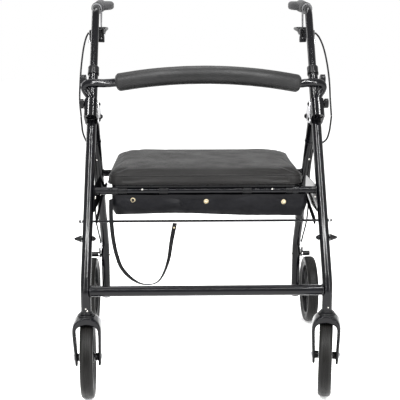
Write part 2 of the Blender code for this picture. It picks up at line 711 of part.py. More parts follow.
def seat():
    """A board that hinges on the front seat tube by two clips, with a pad on it."""
    hinge_y = leg_at(SEAT_TUBE_Z, 1).y
    outline = rounded_box((-0.236, SEAT_FRONT_Y + 0.010), (0.236, SEAT_BACK_Y - 0.015),
                          (0.02, 0.02, 0.05, 0.05))
    board = meshed(
        plate("seat_pan", outline, PAN_T, Matrix.Translation((0, 0, PAN_Z + PAN_T / 2)), PLASTIC)
    )
    profile = [(0.0135, 0.007), (0.0135, -0.007), (0.0100, -0.007), (0.0100, 0.007)]
    for side, s in SIDES:
        frame = along((s * 0.227, hinge_y, SEAT_TUBE_Z), (1, 0, 0))
        join(board, turned(f"{side}_clip", profile, frame, None, 12, ring=True))
    low = PAN_Z + PAN_T + GAP
    outline = rounded_box((-SEAT_HALF_X, SEAT_FRONT_Y), (SEAT_HALF_X, SEAT_BACK_Y),
                          (0.03, 0.03, 0.055, 0.055))
    level = Matrix.Translation((0, 0, (low + SEAT_TOP_Z) / 2))
    plate("seat_pad", outline, SEAT_TOP_Z - low, level, VINYL)


def pouch():
    """An open-topped bag behind the front seat tube."""
    low, high = Vector(POUCH_LOW), Vector(POUCH_HIGH)
    wall = Vector((POUCH_WALL,) * 3)
    bag = box("pouch", low, high, NYLON)
    top = Vector((high.x - POUCH_WALL, high.y - POUCH_WALL, high.z + 0.01))
    return cut(bag, box("pouch_inside", low + wall, top))


def strap():
    """Hangs in a loop from the pouch's front corner to the cross rod."""
    front = leg_at(ROD_Z, 1).y - ROD_R - 0.0043
    route = [
        (-0.2323, -0.176, 0.476), (-0.2323, -0.196, 0.458), (-0.2308, front, 0.434),
        (-0.2285, front, 0.386), (-0.2217, front, 0.344), (-0.2090, front, 0.311),
        (-0.1800, front, 0.281), (-0.1478, front, 0.270), (-0.1160, front, 0.281),
        (-0.0960, front, 0.327), (-0.0865, front, 0.385), (-0.0785, front, 0.430),
    ]
    tube("strap", smooth_path(route, 2), 0.0035, NYLON, 8)


def cables(side, s):
    """From the brake lever down the leg to the fold axis, and on down the rear leg."""
    bow, fold_x = (2.05, 0.3400) if s > 0 else (1.18, 0.3245)
    upper = [
        (0.0236, 0.888, 0.056), (0.0285, 0.874, 0.052), (0.0325, 0.846, 0.044),
        (0.0350, 0.805, 0.038), (0.0358, 0.760, 0.034), (0.0352, 0.715, 0.034),
    ]
    path = [
        leg_at(z, s) + Vector((s * (0.0236 + (dx - 0.0236) * bow), dy, 0)) for dx, z, dy in upper
    ]
    end = pivot_at(s * fold_x)
    tube(f"cable_upper_{side}", smooth_path([*path, end + UP * CABLE_GAP], 3), 0.0025, PLASTIC, 8)
    lower = [
        (fold_x, -0.0040, 0.648), (fold_x - 0.0015, 0.0040, 0.626),
        (fold_x - 0.0085, 0.0140, 0.603),
        (0.3045, 0.0300, 0.580), (0.3005, 0.0480, 0.553), (0.3010, 0.0800, 0.505),
        (0.3050, 0.1150, 0.452), (0.3110, 0.1550, 0.386), (0.3120, 0.1850, 0.336),
        (0.3060, 0.2150, 0.280), (0.3050, 0.2300, 0.256),
    ]
    path = [end - UP * CABLE_GAP] + [Vector((s * x, y, z)) for x, y, z in lower]
    tube(f"cable_lower_{side}", smooth_path(path, 2), 0.0025, PLASTIC, 8)


cross_members()
backrest()
rear_cross_tube()
seat()
pouch()
strap()
for side, s in SIDES:
    front_leg(side, s)
    handle_collar(side, s)
    top_bracket(side, s)
    pivot_plate(side, s)
    side_plate(side, s)
    frame_bolt(side, s)
    handle(side, s)
    rear_leg(side, s)
    links(side, s)
    brake_arm(side, s)
    front_axle = caster(side, s)
    wheel("rear", side, s * REAR_WHEEL_X, REAR_Y)
    axle_bolt(f"rear_axle_{side}", s * REAR_X, REAR_Y, s, -0.0168, 0.0594, 0.0645)
    cables(side, s)
    knobs = (
        ("height_knob", leg_at(HEIGHT_KNOB_Z, s), HEIGHT_KNOB_X, 0.012, 0.3037, 0.0180),
        ("backrest_knob", leg_at(BACKREST_KNOB_Z, s) + AHEAD * SOCKET_AHEAD, BACKREST_KNOB_X,
         0.010, 0.3040, 0.0117),
    )
    for knob, at, inner, thick, tip, radius in knobs:
        star_knob(f"{knob}_{side}", s, at.y, at.z, inner, inner + thick, tip, radius)
        hang(f"{knob}_axis_{side}", at, [f"{knob}_{side}"])
    swivel = (s * LEG_X, FRONT_Y, AXLE_Z)
    hang(f"swivel_axis_{side}", swivel, [f"caster_fork_{side}", f"front_axle_{side}"])
    hang(f"front_wheel_axis_{side}", front_axle, [f"front_tyre_{side}", f"front_rim_{side}"])
    hang(f"rear_wheel_axis_{side}", (s * REAR_WHEEL_X, REAR_Y, AXLE_Z),
         [f"rear_tyre_{side}", f"rear_rim_{side}"])
    hang(f"handle_slide_{side}", leg_at(LEG_TOP_Z, s),
         [f"handle_tube_{side}", f"grip_{side}", f"brake_clamp_{side}"])
    hang(f"lever_axis_{side}", (s * LEG_X, *LEVER_PIVOT), [f"brake_lever_{side}"])
    hang(f"brake_axis_{side}", (s * REAR_X, REAR_Y, BRAKE_PIVOT_Z), [f"brake_arm_{side}"])

hang("fold_axis", pivot_at(0), ["rear_cross_tube"] + [
    f"{name}_{side}" for name in ("rear_leg", "rear_axle", "cable_lower") for side, _ in SIDES
])
hang("seat_axis", (0, leg_at(SEAT_TUBE_Z, 1).y, SEAT_TUBE_Z), ["seat_pan", "seat_pad"])
hang("backrest_slide", (0, *leg_at(BRACKET_Z, 1)[1:]), ["backrest_tube", "backrest_pad"])
hang("front_link_axis", (0, *leg_at(ROD_Z, 1)[1:]), [f"front_link_{side}" for side, _ in SIDES])
hang("rear_link_axis", (0, *rear_leg_at(LINK_PIVOT_Z, 1)[1:]),
     [f"rear_link_{side}" for side, _ in SIDES])
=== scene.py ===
"""The looks of a rollator walker, built round its CAD model. Metres; -Y is the front, +Z is up."""

import json
import math

import bmesh
import bpy
from mathutils import Matrix, Vector, noise
from mathutils.bvhtree import BVHTree


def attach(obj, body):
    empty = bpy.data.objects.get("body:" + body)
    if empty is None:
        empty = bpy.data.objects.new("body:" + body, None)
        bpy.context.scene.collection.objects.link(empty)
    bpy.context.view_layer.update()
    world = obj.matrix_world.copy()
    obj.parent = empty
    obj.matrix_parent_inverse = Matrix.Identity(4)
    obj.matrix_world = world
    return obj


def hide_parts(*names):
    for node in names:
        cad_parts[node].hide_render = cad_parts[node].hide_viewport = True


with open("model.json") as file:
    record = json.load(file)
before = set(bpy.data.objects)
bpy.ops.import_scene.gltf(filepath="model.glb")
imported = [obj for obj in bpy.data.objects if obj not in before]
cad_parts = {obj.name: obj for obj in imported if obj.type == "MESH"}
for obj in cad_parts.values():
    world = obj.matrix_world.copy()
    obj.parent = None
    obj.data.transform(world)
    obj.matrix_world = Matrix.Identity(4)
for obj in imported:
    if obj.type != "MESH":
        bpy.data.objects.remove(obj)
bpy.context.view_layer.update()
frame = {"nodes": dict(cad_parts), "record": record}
SIDES = (("left", -1), ("right", 1))

# Sizes shared with the CAD source
FRONT_Y, REAR_Y, TRAIL = -0.295, 0.268, 0.027
LEG_X, LEG_R, LEG_BEND_Z, LEG_TOP_Z = 0.2925, 0.0127, 0.2908, 0.796
LEAN = math.radians(32.5)
UP = Vector((0, math.sin(LEAN), math.cos(LEAN)))
AHEAD = Vector((0, -math.cos(LEAN), math.sin(LEAN)))
AXLE_Z, WHEEL_R = 0.1011, 0.1016
CASTER_TURN = {"left": math.radians(3.5), "right": math.radians(-10.5)}
REAR_TOP_X, REAR_X, REAR_WHEEL_X = 0.2905, 0.2955, 0.338
PIVOT_Z, REAR_BEND_Z = 0.672, 0.25
BOLT_Z, LINK_PIVOT_Z, BRAKE_PIVOT_Z = 0.394, 0.460, 0.215
KNEE_Y, KNEE_Z = -0.0251, 0.4702
HEIGHT_KNOB_Z, BACKREST_KNOB_Z, SOCKET_AHEAD = 0.762, 0.694, 0.031
GRIP_Z, GRIP_START_Y, GRIP_LENGTH = 0.952, 0.166, 0.127
GRIP_RISE = math.radians(5)
GRIP_WAY = Vector((0, math.cos(GRIP_RISE), math.sin(GRIP_RISE)))
LEVER_Y, LEVER_Z = 0.140, 0.882
PIVOT = Vector((0, -0.0142, PIVOT_Z))
SEAT_TUBE = Vector((0, -0.1614, 0.5005))
ROD = Vector((0, -0.2050, 0.432))
CABLE_GAP = 0.0012


def leg_at(z, s):
    return Vector((s * LEG_X, FRONT_Y + max(0, z - LEG_BEND_Z) * math.tan(LEAN), z))


def grip_at(distance, s):
    corner = leg_at(GRIP_Z, s)
    return corner + GRIP_WAY * ((GRIP_START_Y - corner.y) / GRIP_WAY.y + distance)


def rear_leg_at(z, s):
    share = (PIVOT_Z - z) / (PIVOT_Z - REAR_BEND_Z)
    x = REAR_TOP_X + (REAR_X - REAR_TOP_X) * share
    return Vector((s * x, PIVOT.y + (REAR_Y - PIVOT.y) * share, z))


# Materials

class Finish:
    """A procedural material that is built up from noise in the object's own coordinates."""

    def __init__(self, name, roughness, metallic=0.0, **sockets):
        self.made = bpy.data.materials.new(name)
        self.made.use_nodes = True
        self.tree = self.made.node_tree
        self.shader = self.tree.nodes["Principled BSDF"]
        self.shader.inputs["Roughness"].default_value = roughness
        self.shader.inputs["Metallic"].default_value = metallic
        for socket, value in sockets.items():
            self.shader.inputs[socket.replace("_", " ")].default_value = value
        self.coords = self.node("ShaderNodeTexCoord").outputs["Object"]
        self.normal = None

    def node(self, kind, **values):
        made = self.tree.nodes.new(kind)
        for key, value in values.items():
            made.inputs[key.replace("_", " ")].default_value = value
        return made

    def link(self, a, b):
        self.tree.links.new(a, b)

    def stretched(self, scale):
        mapping = self.node("ShaderNodeMapping", Scale=scale)
        self.link(self.coords, mapping.inputs["Vector"])
        return mapping.outputs["Vector"]

    def noise(self, scale, detail=3.0, vector=None):
        made = self.node("ShaderNodeTexNoise", Scale=scale, Detail=detail)
        self.link(vector or self.coords, made.inputs["Vector"])
        return made.outputs["Fac"]

    def spread(self, factor, low, high, start=0.3, end=0.7):
        made = self.node("ShaderNodeMapRange", From_Min=start, From_Max=end, To_Min=low, To_Max=high)
        self.link(factor, made.inputs["Value"])
        return made.outputs["Result"]

    def colour(self, factor, dark, light):
        ramp = self.node("ShaderNodeValToRGB")
        ramp.color_ramp.elements[0].position, ramp.color_ramp.elements[1].position = 0.3, 0.7
        ramp.color_ramp.elements[0].color = (*dark, 1)
        ramp.color_ramp.elements[1].color = (*light, 1)
        self.link(factor, ramp.inputs["Fac"])
        self.link(ramp.outputs["Color"], self.shader.inputs["Base Color"])

    def rough(self, factor, low, high):
        self.link(self.spread(factor, low, high), self.shader.inputs["Roughness"])

    def bump(self, height, strength, distance):
        made = self.node("ShaderNodeBump", Strength=strength, Distance=distance)
        self.link(height, made.inputs["Height"])
        if self.normal:
            self.link(self.normal, made.inputs["Normal"])
        self.normal = made.outputs["Normal"]
        self.link(self.normal, self.shader.inputs["Normal"])

    def combined(self, a, b, operation="MAXIMUM"):
        made = self.node("ShaderNodeMath")
        made.operation = operation
        self.link(a, made.inputs[0])
        self.link(b, made.inputs[1])
        return made.outputs[0]

    def wave(self, scale, direction):
        made = self.node("ShaderNodeTexWave", Scale=scale)
        made.wave_type, made.bands_direction, made.wave_profile = "BANDS", direction, "SIN"
        self.link(self.coords, made.inputs["Vector"])
        return made.outputs["Fac"]


def frame_black():
    f = Finish("gloss_black_paint", 0.16, Specular_IOR_Level=0.13, Coat_Weight=0.08,
               Coat_Roughness=0.05)
    f.colour(f.noise(14), (0.0010, 0.0010, 0.0014), (0.0022, 0.0022, 0.0030))
    f.rough(f.noise(45), 0.10, 0.16)
    f.bump(f.noise(420, 2), 0.05, 0.0004)
    return f.made


def matte_black():
    # Matte black with no reflection at all. On the left side plate it is painted shade: a dark copy of
    # the gloss frame paint.
    f = Finish("matte_black_and_painted_shade", 0.8, Specular_IOR_Level=0.0)
    f.colour(f.noise(20), (0.0020, 0.0020, 0.0024), (0.0042, 0.0042, 0.0048))
    f.bump(f.noise(420, 2), 0.05, 0.0004)
    return f.made


def plastic(name, dark, light, low, high, grain=1500, depth=0.12):
    f = Finish(name, (low + high) / 2, Specular_IOR_Level=0.13)
    f.colour(f.noise(30), dark, light)
    f.rough(f.noise(60), low, high)
    f.bump(f.noise(grain, 4), depth, 0.0003)
    return f.made


def rubber(name, dark, light, low, high, sheen=0.0):
    f = Finish(name, (low + high) / 2, Specular_IOR_Level=0.11, Sheen_Weight=sheen, Sheen_Roughness=0.5)
    f.colour(f.noise(24), dark, light)
    f.rough(f.noise(40), low, high)
    f.bump(f.noise(900, 5), 0.22, 0.0004)
    return f.made


def steel(name, dark, light, low, high):
    f = Finish(name, (low + high) / 2, 1.0)
    f.colour(f.noise(60), dark, light)
    f.rough(f.noise(90, 4, f.stretched((1, 6, 6))), low, high)
    f.bump(f.noise(700, 3, f.stretched((1, 12, 12))), 0.08, 0.0002)
    return f.made


def foam():
    f = Finish("charcoal_foam", 0.45, Specular_IOR_Level=0.16, Sheen_Weight=0.03, Sheen_Roughness=0.4)
    f.colour(f.noise(18), (0.0040, 0.0040, 0.0041), (0.0070, 0.0070, 0.0071))
    f.rough(f.noise(35), 0.36, 0.50)
    f.bump(f.noise(1300, 6), 0.35, 0.0005)
    f.bump(f.noise(70, 3), 0.25, 0.0010)
    return f.made


def vinyl():
    f = Finish("black_vinyl", 0.45, Specular_IOR_Level=0.11, Sheen_Weight=0.01, Sheen_Roughness=0.5)
    f.colour(f.noise(12), (0.0036, 0.0034, 0.0033), (0.0062, 0.0059, 0.0057))
    f.rough(f.noise(26), 0.36, 0.50)
    cells = f.node("ShaderNodeTexVoronoi", Scale=620.0)
    cells.feature = "DISTANCE_TO_EDGE"
    f.link(f.coords, cells.inputs["Vector"])
    f.bump(f.spread(cells.outputs["Distance"], 0, 1, 0.0, 0.25), 0.28, 0.0004)
    f.bump(f.noise(28, 4), 0.30, 0.0016)
    return f.made


def woven(name, dark, light, scale, low, high, depth, sheen):
    f = Finish(name, (low + high) / 2, Specular_IOR_Level=0.07, Sheen_Weight=sheen,
               Sheen_Roughness=0.35)
    weft = f.combined(f.wave(scale, "X"), f.wave(scale, "Z"))
    threads = f.combined(weft, f.wave(scale, "Y"), "ADD")
    f.colour(f.noise(20), dark, light)
    f.rough(f.noise(30), low, high)
    f.bump(threads, depth, 0.0004)
    f.bump(f.noise(55, 4), 0.35, 0.0012)
    return f.made


FRAME = frame_black()
MATTE_AND_SHADE = matte_black()
PLASTIC = plastic("satin_black_plastic", (0.0022, 0.0022, 0.0026), (0.0045, 0.0045, 0.0050), 0.24, 0.36)
RIM = plastic("rim_nylon", (0.0030, 0.0030, 0.0033), (0.0058, 0.0058, 0.0062), 0.34, 0.48, 700, 0.2)
CABLE = plastic("cable_housing", (0.0018, 0.0018, 0.0021), (0.0036, 0.0036, 0.0040), 0.26, 0.38)
GREY_PLASTIC = plastic("grey_plastic", (0.070, 0.070, 0.072), (0.100, 0.100, 0.103), 0.35, 0.48)
GRIP = rubber("grip_rubber", (0.017, 0.017, 0.0178), (0.030, 0.030, 0.031), 0.50, 0.66, 0.04)
TYRE = rubber("tyre_rubber", (0.0026, 0.0025, 0.0023), (0.0052, 0.0050, 0.0046), 0.34, 0.50, 0.01)
ZINC = steel("zinc_plate", (0.42, 0.42, 0.44), (0.62, 0.62, 0.63), 0.22, 0.38)
BRASS = steel("aged_brass", (0.34, 0.29, 0.19), (0.52, 0.45, 0.31), 0.22, 0.36)
NICKEL = steel("nickel", (0.62, 0.60, 0.56), (0.80, 0.78, 0.74), 0.14, 0.24)
FOAM = foam()
VINYL = vinyl()
NYLON = woven("pouch_nylon", (0.0018, 0.0018, 0.0024), (0.0038, 0.0038, 0.0046), 520,
              0.26, 0.40, 0.25, 0.01)
WEBBING = woven("strap_webbing", (0.0022, 0.0022, 0.0027), (0.0044, 0.0044, 0.0050), 300,
                0.5, 0.66, 0.5, 0.01)
LOOKS = {
    "frame_black": FRAME, "black_plastic": PLASTIC, "rim_plastic": RIM, "cable_black": CABLE,
    "grip_grey": GRIP, "zinc_steel": ZINC, "tyre_black": TYRE, "foam": FOAM, "vinyl": VINYL,
    "nylon": NYLON, "webbing": WEBBING,
}


# Shapes, each returned as a mesh in the shared frame

def mesh_of(verts, faces):
    made = bpy.data.meshes.new("shape")
    made.from_pydata([tuple(v) for v in verts], [], faces)
    return made


def ring_faces(rows, n, closed=False, caps=True):
    """Quads between rings of n points, with a face over each open end."""
    faces = []
    for i in range(rows if closed else rows - 1):
        a, b = i * n, (i + 1) % rows * n
        for k in range(n):
            j = (k + 1) % n
            faces.append((a + k, a + j, b + j, b + k))
    if caps and not closed:
        faces += [tuple(range(n))[::-1], tuple((rows - 1) * n + k for k in range(n))]
    return faces


def from_bmesh(shape, matrix):
    bmesh.ops.transform(shape, matrix=matrix, verts=shape.verts)
    made = bpy.data.meshes.new("shape")
    shape.to_mesh(made)
    shape.free()
    return made


def along(origin, direction):
    turn = Vector(direction).to_track_quat("Z", "Y").to_matrix().to_4x4()
    return Matrix.Translation(origin) @ turn


def facing_x(x):
    return Matrix(((0, 0, 1, x), (1, 0, 0, 0), (0, 1, 0, 0), (0, 0, 0, 1)))


def lathe(profile, matrix, steps=48, ring=False):
    """A profile of (radius, height) turned about its frame's Z axis."""
    verts, rows, faces = [], [], []
    for r, z in profile:
        if r < 1e-7:
            rows.append([len(verts)] * steps)
            verts.append(matrix @ Vector((0, 0, z)))
        else:
            rows.append(list(range(len(verts), len(verts) + steps)))
            for k in range(steps):
                t = 2 * math.pi * k / steps
                verts.append(matrix @ Vector((r * math.cos(t), r * math.sin(t), z)))
    pairs = list(zip(rows, rows[1:])) + ([(rows[-1], rows[0])] if ring else [])
    for a, b in pairs:
        for k in range(steps):
            j = (k + 1) % steps
            corners = [a[k], a[j], b[j], b[k]]
            faces.append([c for i, c in enumerate(corners) if c not in corners[:i]])
    return mesh_of(verts, [f for f in faces if len(f) > 2])


def circle(centre, radius, count):
    turns = (2 * math.pi * i / count for i in range(count))
    return [(centre[0] + radius * math.cos(t), centre[1] + radius * math.sin(t)) for t in turns]


def flat(thick, wide):
    """The section of a strip, for sweep."""
    u, v = thick / 2, wide / 2
    return [(u, v), (u, -v), (-u, -v), (-u, v)]


def prism(outline, thickness, matrix, bevel=0.0006, segments=3):
    """A flat outline with thickness, centred on its frame's XY plane, with rounded rims."""
    shape = bmesh.new()
    low = [shape.verts.new((u, v, -thickness / 2)) for u, v in outline]
    high = [shape.verts.new((u, v, thickness / 2)) for u, v in outline]
    rims = [shape.faces.new(low[::-1]), shape.faces.new(high)]
    for i in range(len(outline)):
        j = (i + 1) % len(outline)
        shape.faces.new((low[i], low[j], high[j], high[i]))
    edges = [e for f in rims for e in f.edges]
    bmesh.ops.bevel(shape, geom=edges, offset=bevel, segments=segments, profile=0.5,
                    affect="EDGES", clamp_overlap=True)
    return from_bmesh(shape, matrix)


def block(low, high, bevel, segments=4):
    """A block with rounded edges."""
    shape = bmesh.new()
    bmesh.ops.create_cube(shape, size=1)
    low, high = Vector(low), Vector(high)
    sizing = Matrix.Translation((low + high) / 2) @ Matrix.Diagonal((*(high - low), 1))
    bmesh.ops.transform(shape, matrix=sizing, verts=shape.verts)
    bmesh.ops.bevel(shape, geom=shape.edges[:], offset=bevel, segments=segments, profile=0.5,
                    affect="EDGES", clamp_overlap=True)
    return from_bmesh(shape, Matrix.Identity(4))


def smooth_path(points, steps):
    points = [Vector(p) for p in points]
    ends = [2 * points[0] - points[1], *points, 2 * points[-1] - points[-2]]
    path = []
    for p, q, r, s in zip(ends, ends[1:], ends[2:], ends[3:]):
        for i in range(steps):
            t = i / steps
            path.append(
                (2 * q + (r - p) * t + (2 * p - 5 * q + 4 * r - s) * t * t
                 + (3 * q - p - 3 * r + s) * t ** 3) / 2
            )
    return path + [points[-1]]


def rounded_path(points, radius, steps=6):
    points = [Vector(p) for p in points]
    path = [points[0]]
    for before, corner, after in zip(points, points[1:], points[2:]):
        a, b = (before - corner).normalized(), (after - corner).normalized()
        half = a.angle(b) / 2
        centre = corner + (a + b).normalized() * radius / math.sin(half)
        start = corner + a * radius / math.tan(half) - centre
        end = corner + b * radius / math.tan(half) - centre
        path += [centre + start.slerp(end, i / steps) * radius for i in range(steps + 1)]
    return path + [points[-1]]


def sweep(path, section, closed=False, scale=None, first=None, twist=None):
    """A section of (u, v) points carried along a path without twist."""
    path = [Vector(p) for p in path]
    count, verts, side = len(path), [], None
    for i, at in enumerate(path):
        if closed:
            ahead = (path[(i + 1) % count] - path[i - 1]).normalized()
        else:
            ahead = (path[min(i + 1, count - 1)] - path[max(i - 1, 0)]).normalized()
        if side is None:
            side = Vector(first) if first else ahead.orthogonal()
        side = (side - ahead * side.dot(ahead)).normalized()
        other = ahead.cross(side)
        grow = scale(i / (count - 1)) if scale else 1
        turn = twist(i / (count - 1)) if twist else 0
        c, d = math.cos(turn) * grow, math.sin(turn) * grow
        verts += [at + side * (u * c - v * d) + other * (u * d + v * c) for u, v in section]
    return mesh_of(verts, ring_faces(count, len(section), closed))


def pipe(path, radius, sides=20, closed=False):
    return sweep(path, circle((0, 0), radius, sides), closed)


def bolt_head(at, direction, radius, height, hexagon=True):
    """A washer, a six-sided or round head, and its domed crown."""
    at, direction = Vector(at), Vector(direction).normalized()
    base = along(at, direction)
    parts = [lathe([(0, 0), (radius * 1.35, 0), (radius * 1.4, height * 0.08),
                    (radius * 1.35, height * 0.2), (0, height * 0.2)], base, 32)]
    if hexagon:
        parts.append(prism(circle((0, 0), radius, 6), height * 0.7,
                           base @ Matrix.Translation((0, 0, height * 0.5)), radius * 0.1))
    dome = [(radius * 0.86 * math.cos(t), height * 0.8 + height * 0.4 * math.sin(t) - height * 0.12)
            for t in (math.pi / 2 * i / 6 for i in range(6))]
    parts.append(lathe([(0, height * 0.2), (radius * 0.86, height * 0.2), *dome,
                        (0, height * 1.08)], base, 32))
    return parts


def bead(centre, axis, radius, size=0.0016):
    """A rippled weld bead in a ring round an axis."""
    base = along(centre, axis)
    path = []
    for k in range(72):
        t = 2 * math.pi * k / 72
        r = radius + 0.0003 * math.sin(9 * t)
        path.append(base @ Vector((r * math.cos(t), r * math.sin(t), 0.0004 * math.sin(17 * t))))
    return pipe(path, size, 8, closed=True)


def piece(name, shapes, look, body, nodes=(), angle=38):
    """One shown piece, made of one or more shapes, that rides on a body."""
    whole = bmesh.new()
    for shape in shapes:
        whole.from_mesh(shape)
        bpy.data.meshes.remove(shape)
    bmesh.ops.recalc_face_normals(whole, faces=whole.faces)
    mesh = bpy.data.meshes.new(name)
    whole.to_mesh(mesh)
    whole.free()
    mesh.shade_smooth()
    mesh.set_sharp_from_angle(angle=math.radians(angle))
    mesh.materials.append(look)
    made = bpy.data.objects.new(name, mesh)
    bpy.context.scene.collection.objects.link(made)
    if body:
        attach(made, body)
    if nodes:
        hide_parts(*nodes)
    return made


# The camera, at the photograph's angle

camera = bpy.data.objects.new("camera", bpy.data.cameras.new("camera"))
camera.data.lens, camera.data.sensor_width = 74.19, 36
camera.location = (-0.0632, -2.2004, 0.9012)
camera.rotation_euler = (math.pi / 2 - 0.2056, 0, -0.0243)
bpy.context.scene.collection.objects.link(camera)
bpy.context.scene.camera = camera


# CAD nodes that are kept: rounded edges, smooth round faces, and a better material, with painted shade
# on the left side plate

SLOTS = {row["node"]: row["material_slot"] for row in frame["record"]["subparts"]}
SOFT_EDGE = {"top_bracket": 0.0022}
# Painted shade: the links get a matte black with no reflection. So does the left side plate, alone. Its
# gloss twin on the right keeps the reflecting frame paint, so the left plate reads dark as if shaded.
MATTE_AND_SHADED_NODES = ("front_link_left", "front_link_right", "rear_link_left", "rear_link_right", "side_plate_left")
for node, obj in frame["nodes"].items():
    obj.data.materials.clear()
    obj.data.materials.append(MATTE_AND_SHADE if node in MATTE_AND_SHADED_NODES else LOOKS[SLOTS[node]])
    custom = obj.data.attributes.get("custom_normal")
    if custom:
        obj.data.attributes.remove(custom)
    obj.data.shade_smooth()
    weld = obj.modifiers.new("weld", "WELD")
    weld.merge_threshold = 2e-5
    edge = obj.modifiers.new("edge", "BEVEL")
    edge.width = SOFT_EDGE.get(node.rsplit("_", 1)[0], 0.0006)
    edge.segments, edge.limit_method, edge.angle_limit = 3, "ANGLE", math.radians(38)
    edge.harden_normals, edge.use_clamp_overlap = True, True


# Seat

def seat_outline(inset, count=200):
    """The seat pad's outline, pulled in by an inset, as evenly spaced points."""
    half, front, back = 0.2475 - inset, -0.180 + inset, 0.165 - inset
    path = []
    for x, y, r, start in ((half, front, 0.034, -90), (half, back, 0.058, 0),
                           (-half, back, 0.058, 90), (-half, front, 0.034, 180)):
        sx, sy = (1 if x > 0 else -1), (1 if y > 0 else -1)
        for i in range(13):
            t = math.radians(start + 90 * i / 12)
            path.append(Vector((x - sx * r + r * math.cos(t), y - sy * r + r * math.sin(t))))
    lengths = [0]
    for a, b in zip(path, path[1:] + path[:1]):
        lengths.append(lengths[-1] + (b - a).length)
    points, k = [], 0
    for i in range(count):
        want = lengths[-1] * i / count
        while lengths[k + 1] < want:
            k += 1
        share = (want - lengths[k]) / max(1e-9, lengths[k + 1] - lengths[k])
        points.append(path[k].lerp(path[(k + 1) % len(path)], share))
    return points


def puffed(made, pressure, cap, hold_below):
    """Cloth with air in it, on a fine even mesh, with each point's movement capped."""
    remesh = made.modifiers.new("remesh", "REMESH")
    remesh.mode, remesh.voxel_size = "VOXEL", 0.005
    graph = bpy.context.evaluated_depsgraph_get()
    even = bpy.data.meshes.new_from_object(made.evaluated_get(graph))
    made.modifiers.clear()
    made.data = even
    before = [v.co.copy() for v in even.vertices]
    held = made.vertex_groups.new(name="held")
    for v in even.vertices:
        if v.co.z < hold_below:
            held.add([v.index], 1.0, "REPLACE")
    cloth = made.modifiers.new("cloth", "CLOTH")
    cloth.settings.quality = 4
    cloth.settings.tension_stiffness = cloth.settings.compression_stiffness = 18
    cloth.settings.bending_stiffness = 0.6
    cloth.settings.use_pressure = True
    cloth.settings.uniform_pressure_force = pressure
    cloth.settings.effector_weights.gravity = 0
    cloth.settings.vertex_group_mass = "held"
    cloth.point_cache.frame_start, cloth.point_cache.frame_end = 1, 20
    for number in range(1, 21):
        bpy.context.scene.frame_set(number)
    graph = bpy.context.evaluated_depsgraph_get()
    after = bpy.data.meshes.new_from_object(made.evaluated_get(graph))
    made.modifiers.clear()
    made.vertex_groups.clear()
    for v, rest in zip(after.vertices, before):
        move = v.co - rest
        if move.length > cap:
            v.co = rest + move.normalized() * cap
    made.data = after
    bpy.context.scene.frame_set(1)


def seat():
    rows = [(0.016, 0.5162), (0.004, 0.5172), (0.0010, 0.5215), (0.0006, 0.5290), (0.0010, 0.5370),
            (0.0030, 0.5425), (0.0075, 0.5460), (0.020, 0.5480), (0.050, 0.5495), (0.100, 0.5505)]
    verts, n = [], 200
    for inset, z in rows:
        for p in seat_outline(inset, n):
            rise = 0.0105 * (p.y + 0.18) / 0.345 * min(1, (z - 0.5215) / 0.024) if z > 0.5215 else 0
            verts.append((p.x, p.y, z + rise))
    pad = piece("seat_cushion", [mesh_of(verts, ring_faces(len(rows), n))], VINYL, None)
    puffed(pad, 3.0, 0.0055, 0.519)
    pad.data.materials.clear()
    pad.data.materials.append(VINYL)
    pad.data.shade_smooth()
    finer = pad.modifiers.new("finer", "SUBSURF")
    finer.levels = finer.render_levels = 1
    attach(pad, "seat")
    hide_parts("seat_pad")
    shape = bmesh.new()
    shape.from_mesh(pad.data)
    tree = BVHTree.FromBMesh(shape)
    shape.free()
    seams = []
    for z, size in ((0.5400, 0.0012), (0.5195, 0.0015)):
        path = []
        for p in seat_outline(0, 260):
            start = Vector((p.x, p.y, z))
            inward = (Vector((0, p.y * 0.3, z)) - start).normalized()
            hit = tree.ray_cast(start - inward * 0.03, inward)[0]
            path.append((hit or start) - inward * 0.0004)
        seams.append(pipe(path, size, 8, closed=True))
    piece("seat_piping", seams, VINYL, "seat")
    screws = []
    for x in (-0.159, 0.168):
        screws += bolt_head((x, SEAT_TUBE.y - 0.0088, 0.5052), (0, -1, 0.45), 0.0017, 0.0024, False)
    piece("seat_pan_screws", screws, NICKEL, "seat")


seat()


# Backrest pad

def backrest():
    arch = [
        (x, -0.105 + 0.038 * (x / 0.24) ** 2, 0.7860 - 0.0245 * (x / 0.24) ** 2)
        for x in (0.2418 + (-0.2216 - 0.2418) * i / 8 for i in range(9))
    ]
    path = smooth_path(arch, 14)
    count = len(path)

    def swell(t):
        near = min(t, 1 - t) * 0.47 / 0.005
        round_end = math.sqrt(max(0.0, 1 - (1 - min(1, near)) ** 2))
        return 0.87 + 0.13 * round_end

    sleeve = sweep(path, circle((0, 0), 0.0230, 40), scale=swell)
    for v in sleeve.vertices:
        lump = noise.noise(v.co * 28) * 0.0005 + noise.noise(v.co * 90) * 0.00018
        v.co += Vector((0, -1, 0.4)) * lump
    pad = piece("backrest_sleeve", [sleeve], FOAM, "backrest", ("backrest_pad",), 60)
    lips = []
    for i, j in ((0, 1), (count - 1, count - 2)):
        frame_at = along(path[i], path[i] - path[j])
        lips.append(lathe([(0.0112, -0.001), (0.0160, -0.0006), (0.0168, 0.0006), (0.0155, 0.0014),
                           (0.0112, 0.0014)], frame_at, 40, ring=True))
    piece("backrest_end_lips", lips, FOAM, "backrest")


backrest()


# Pouch

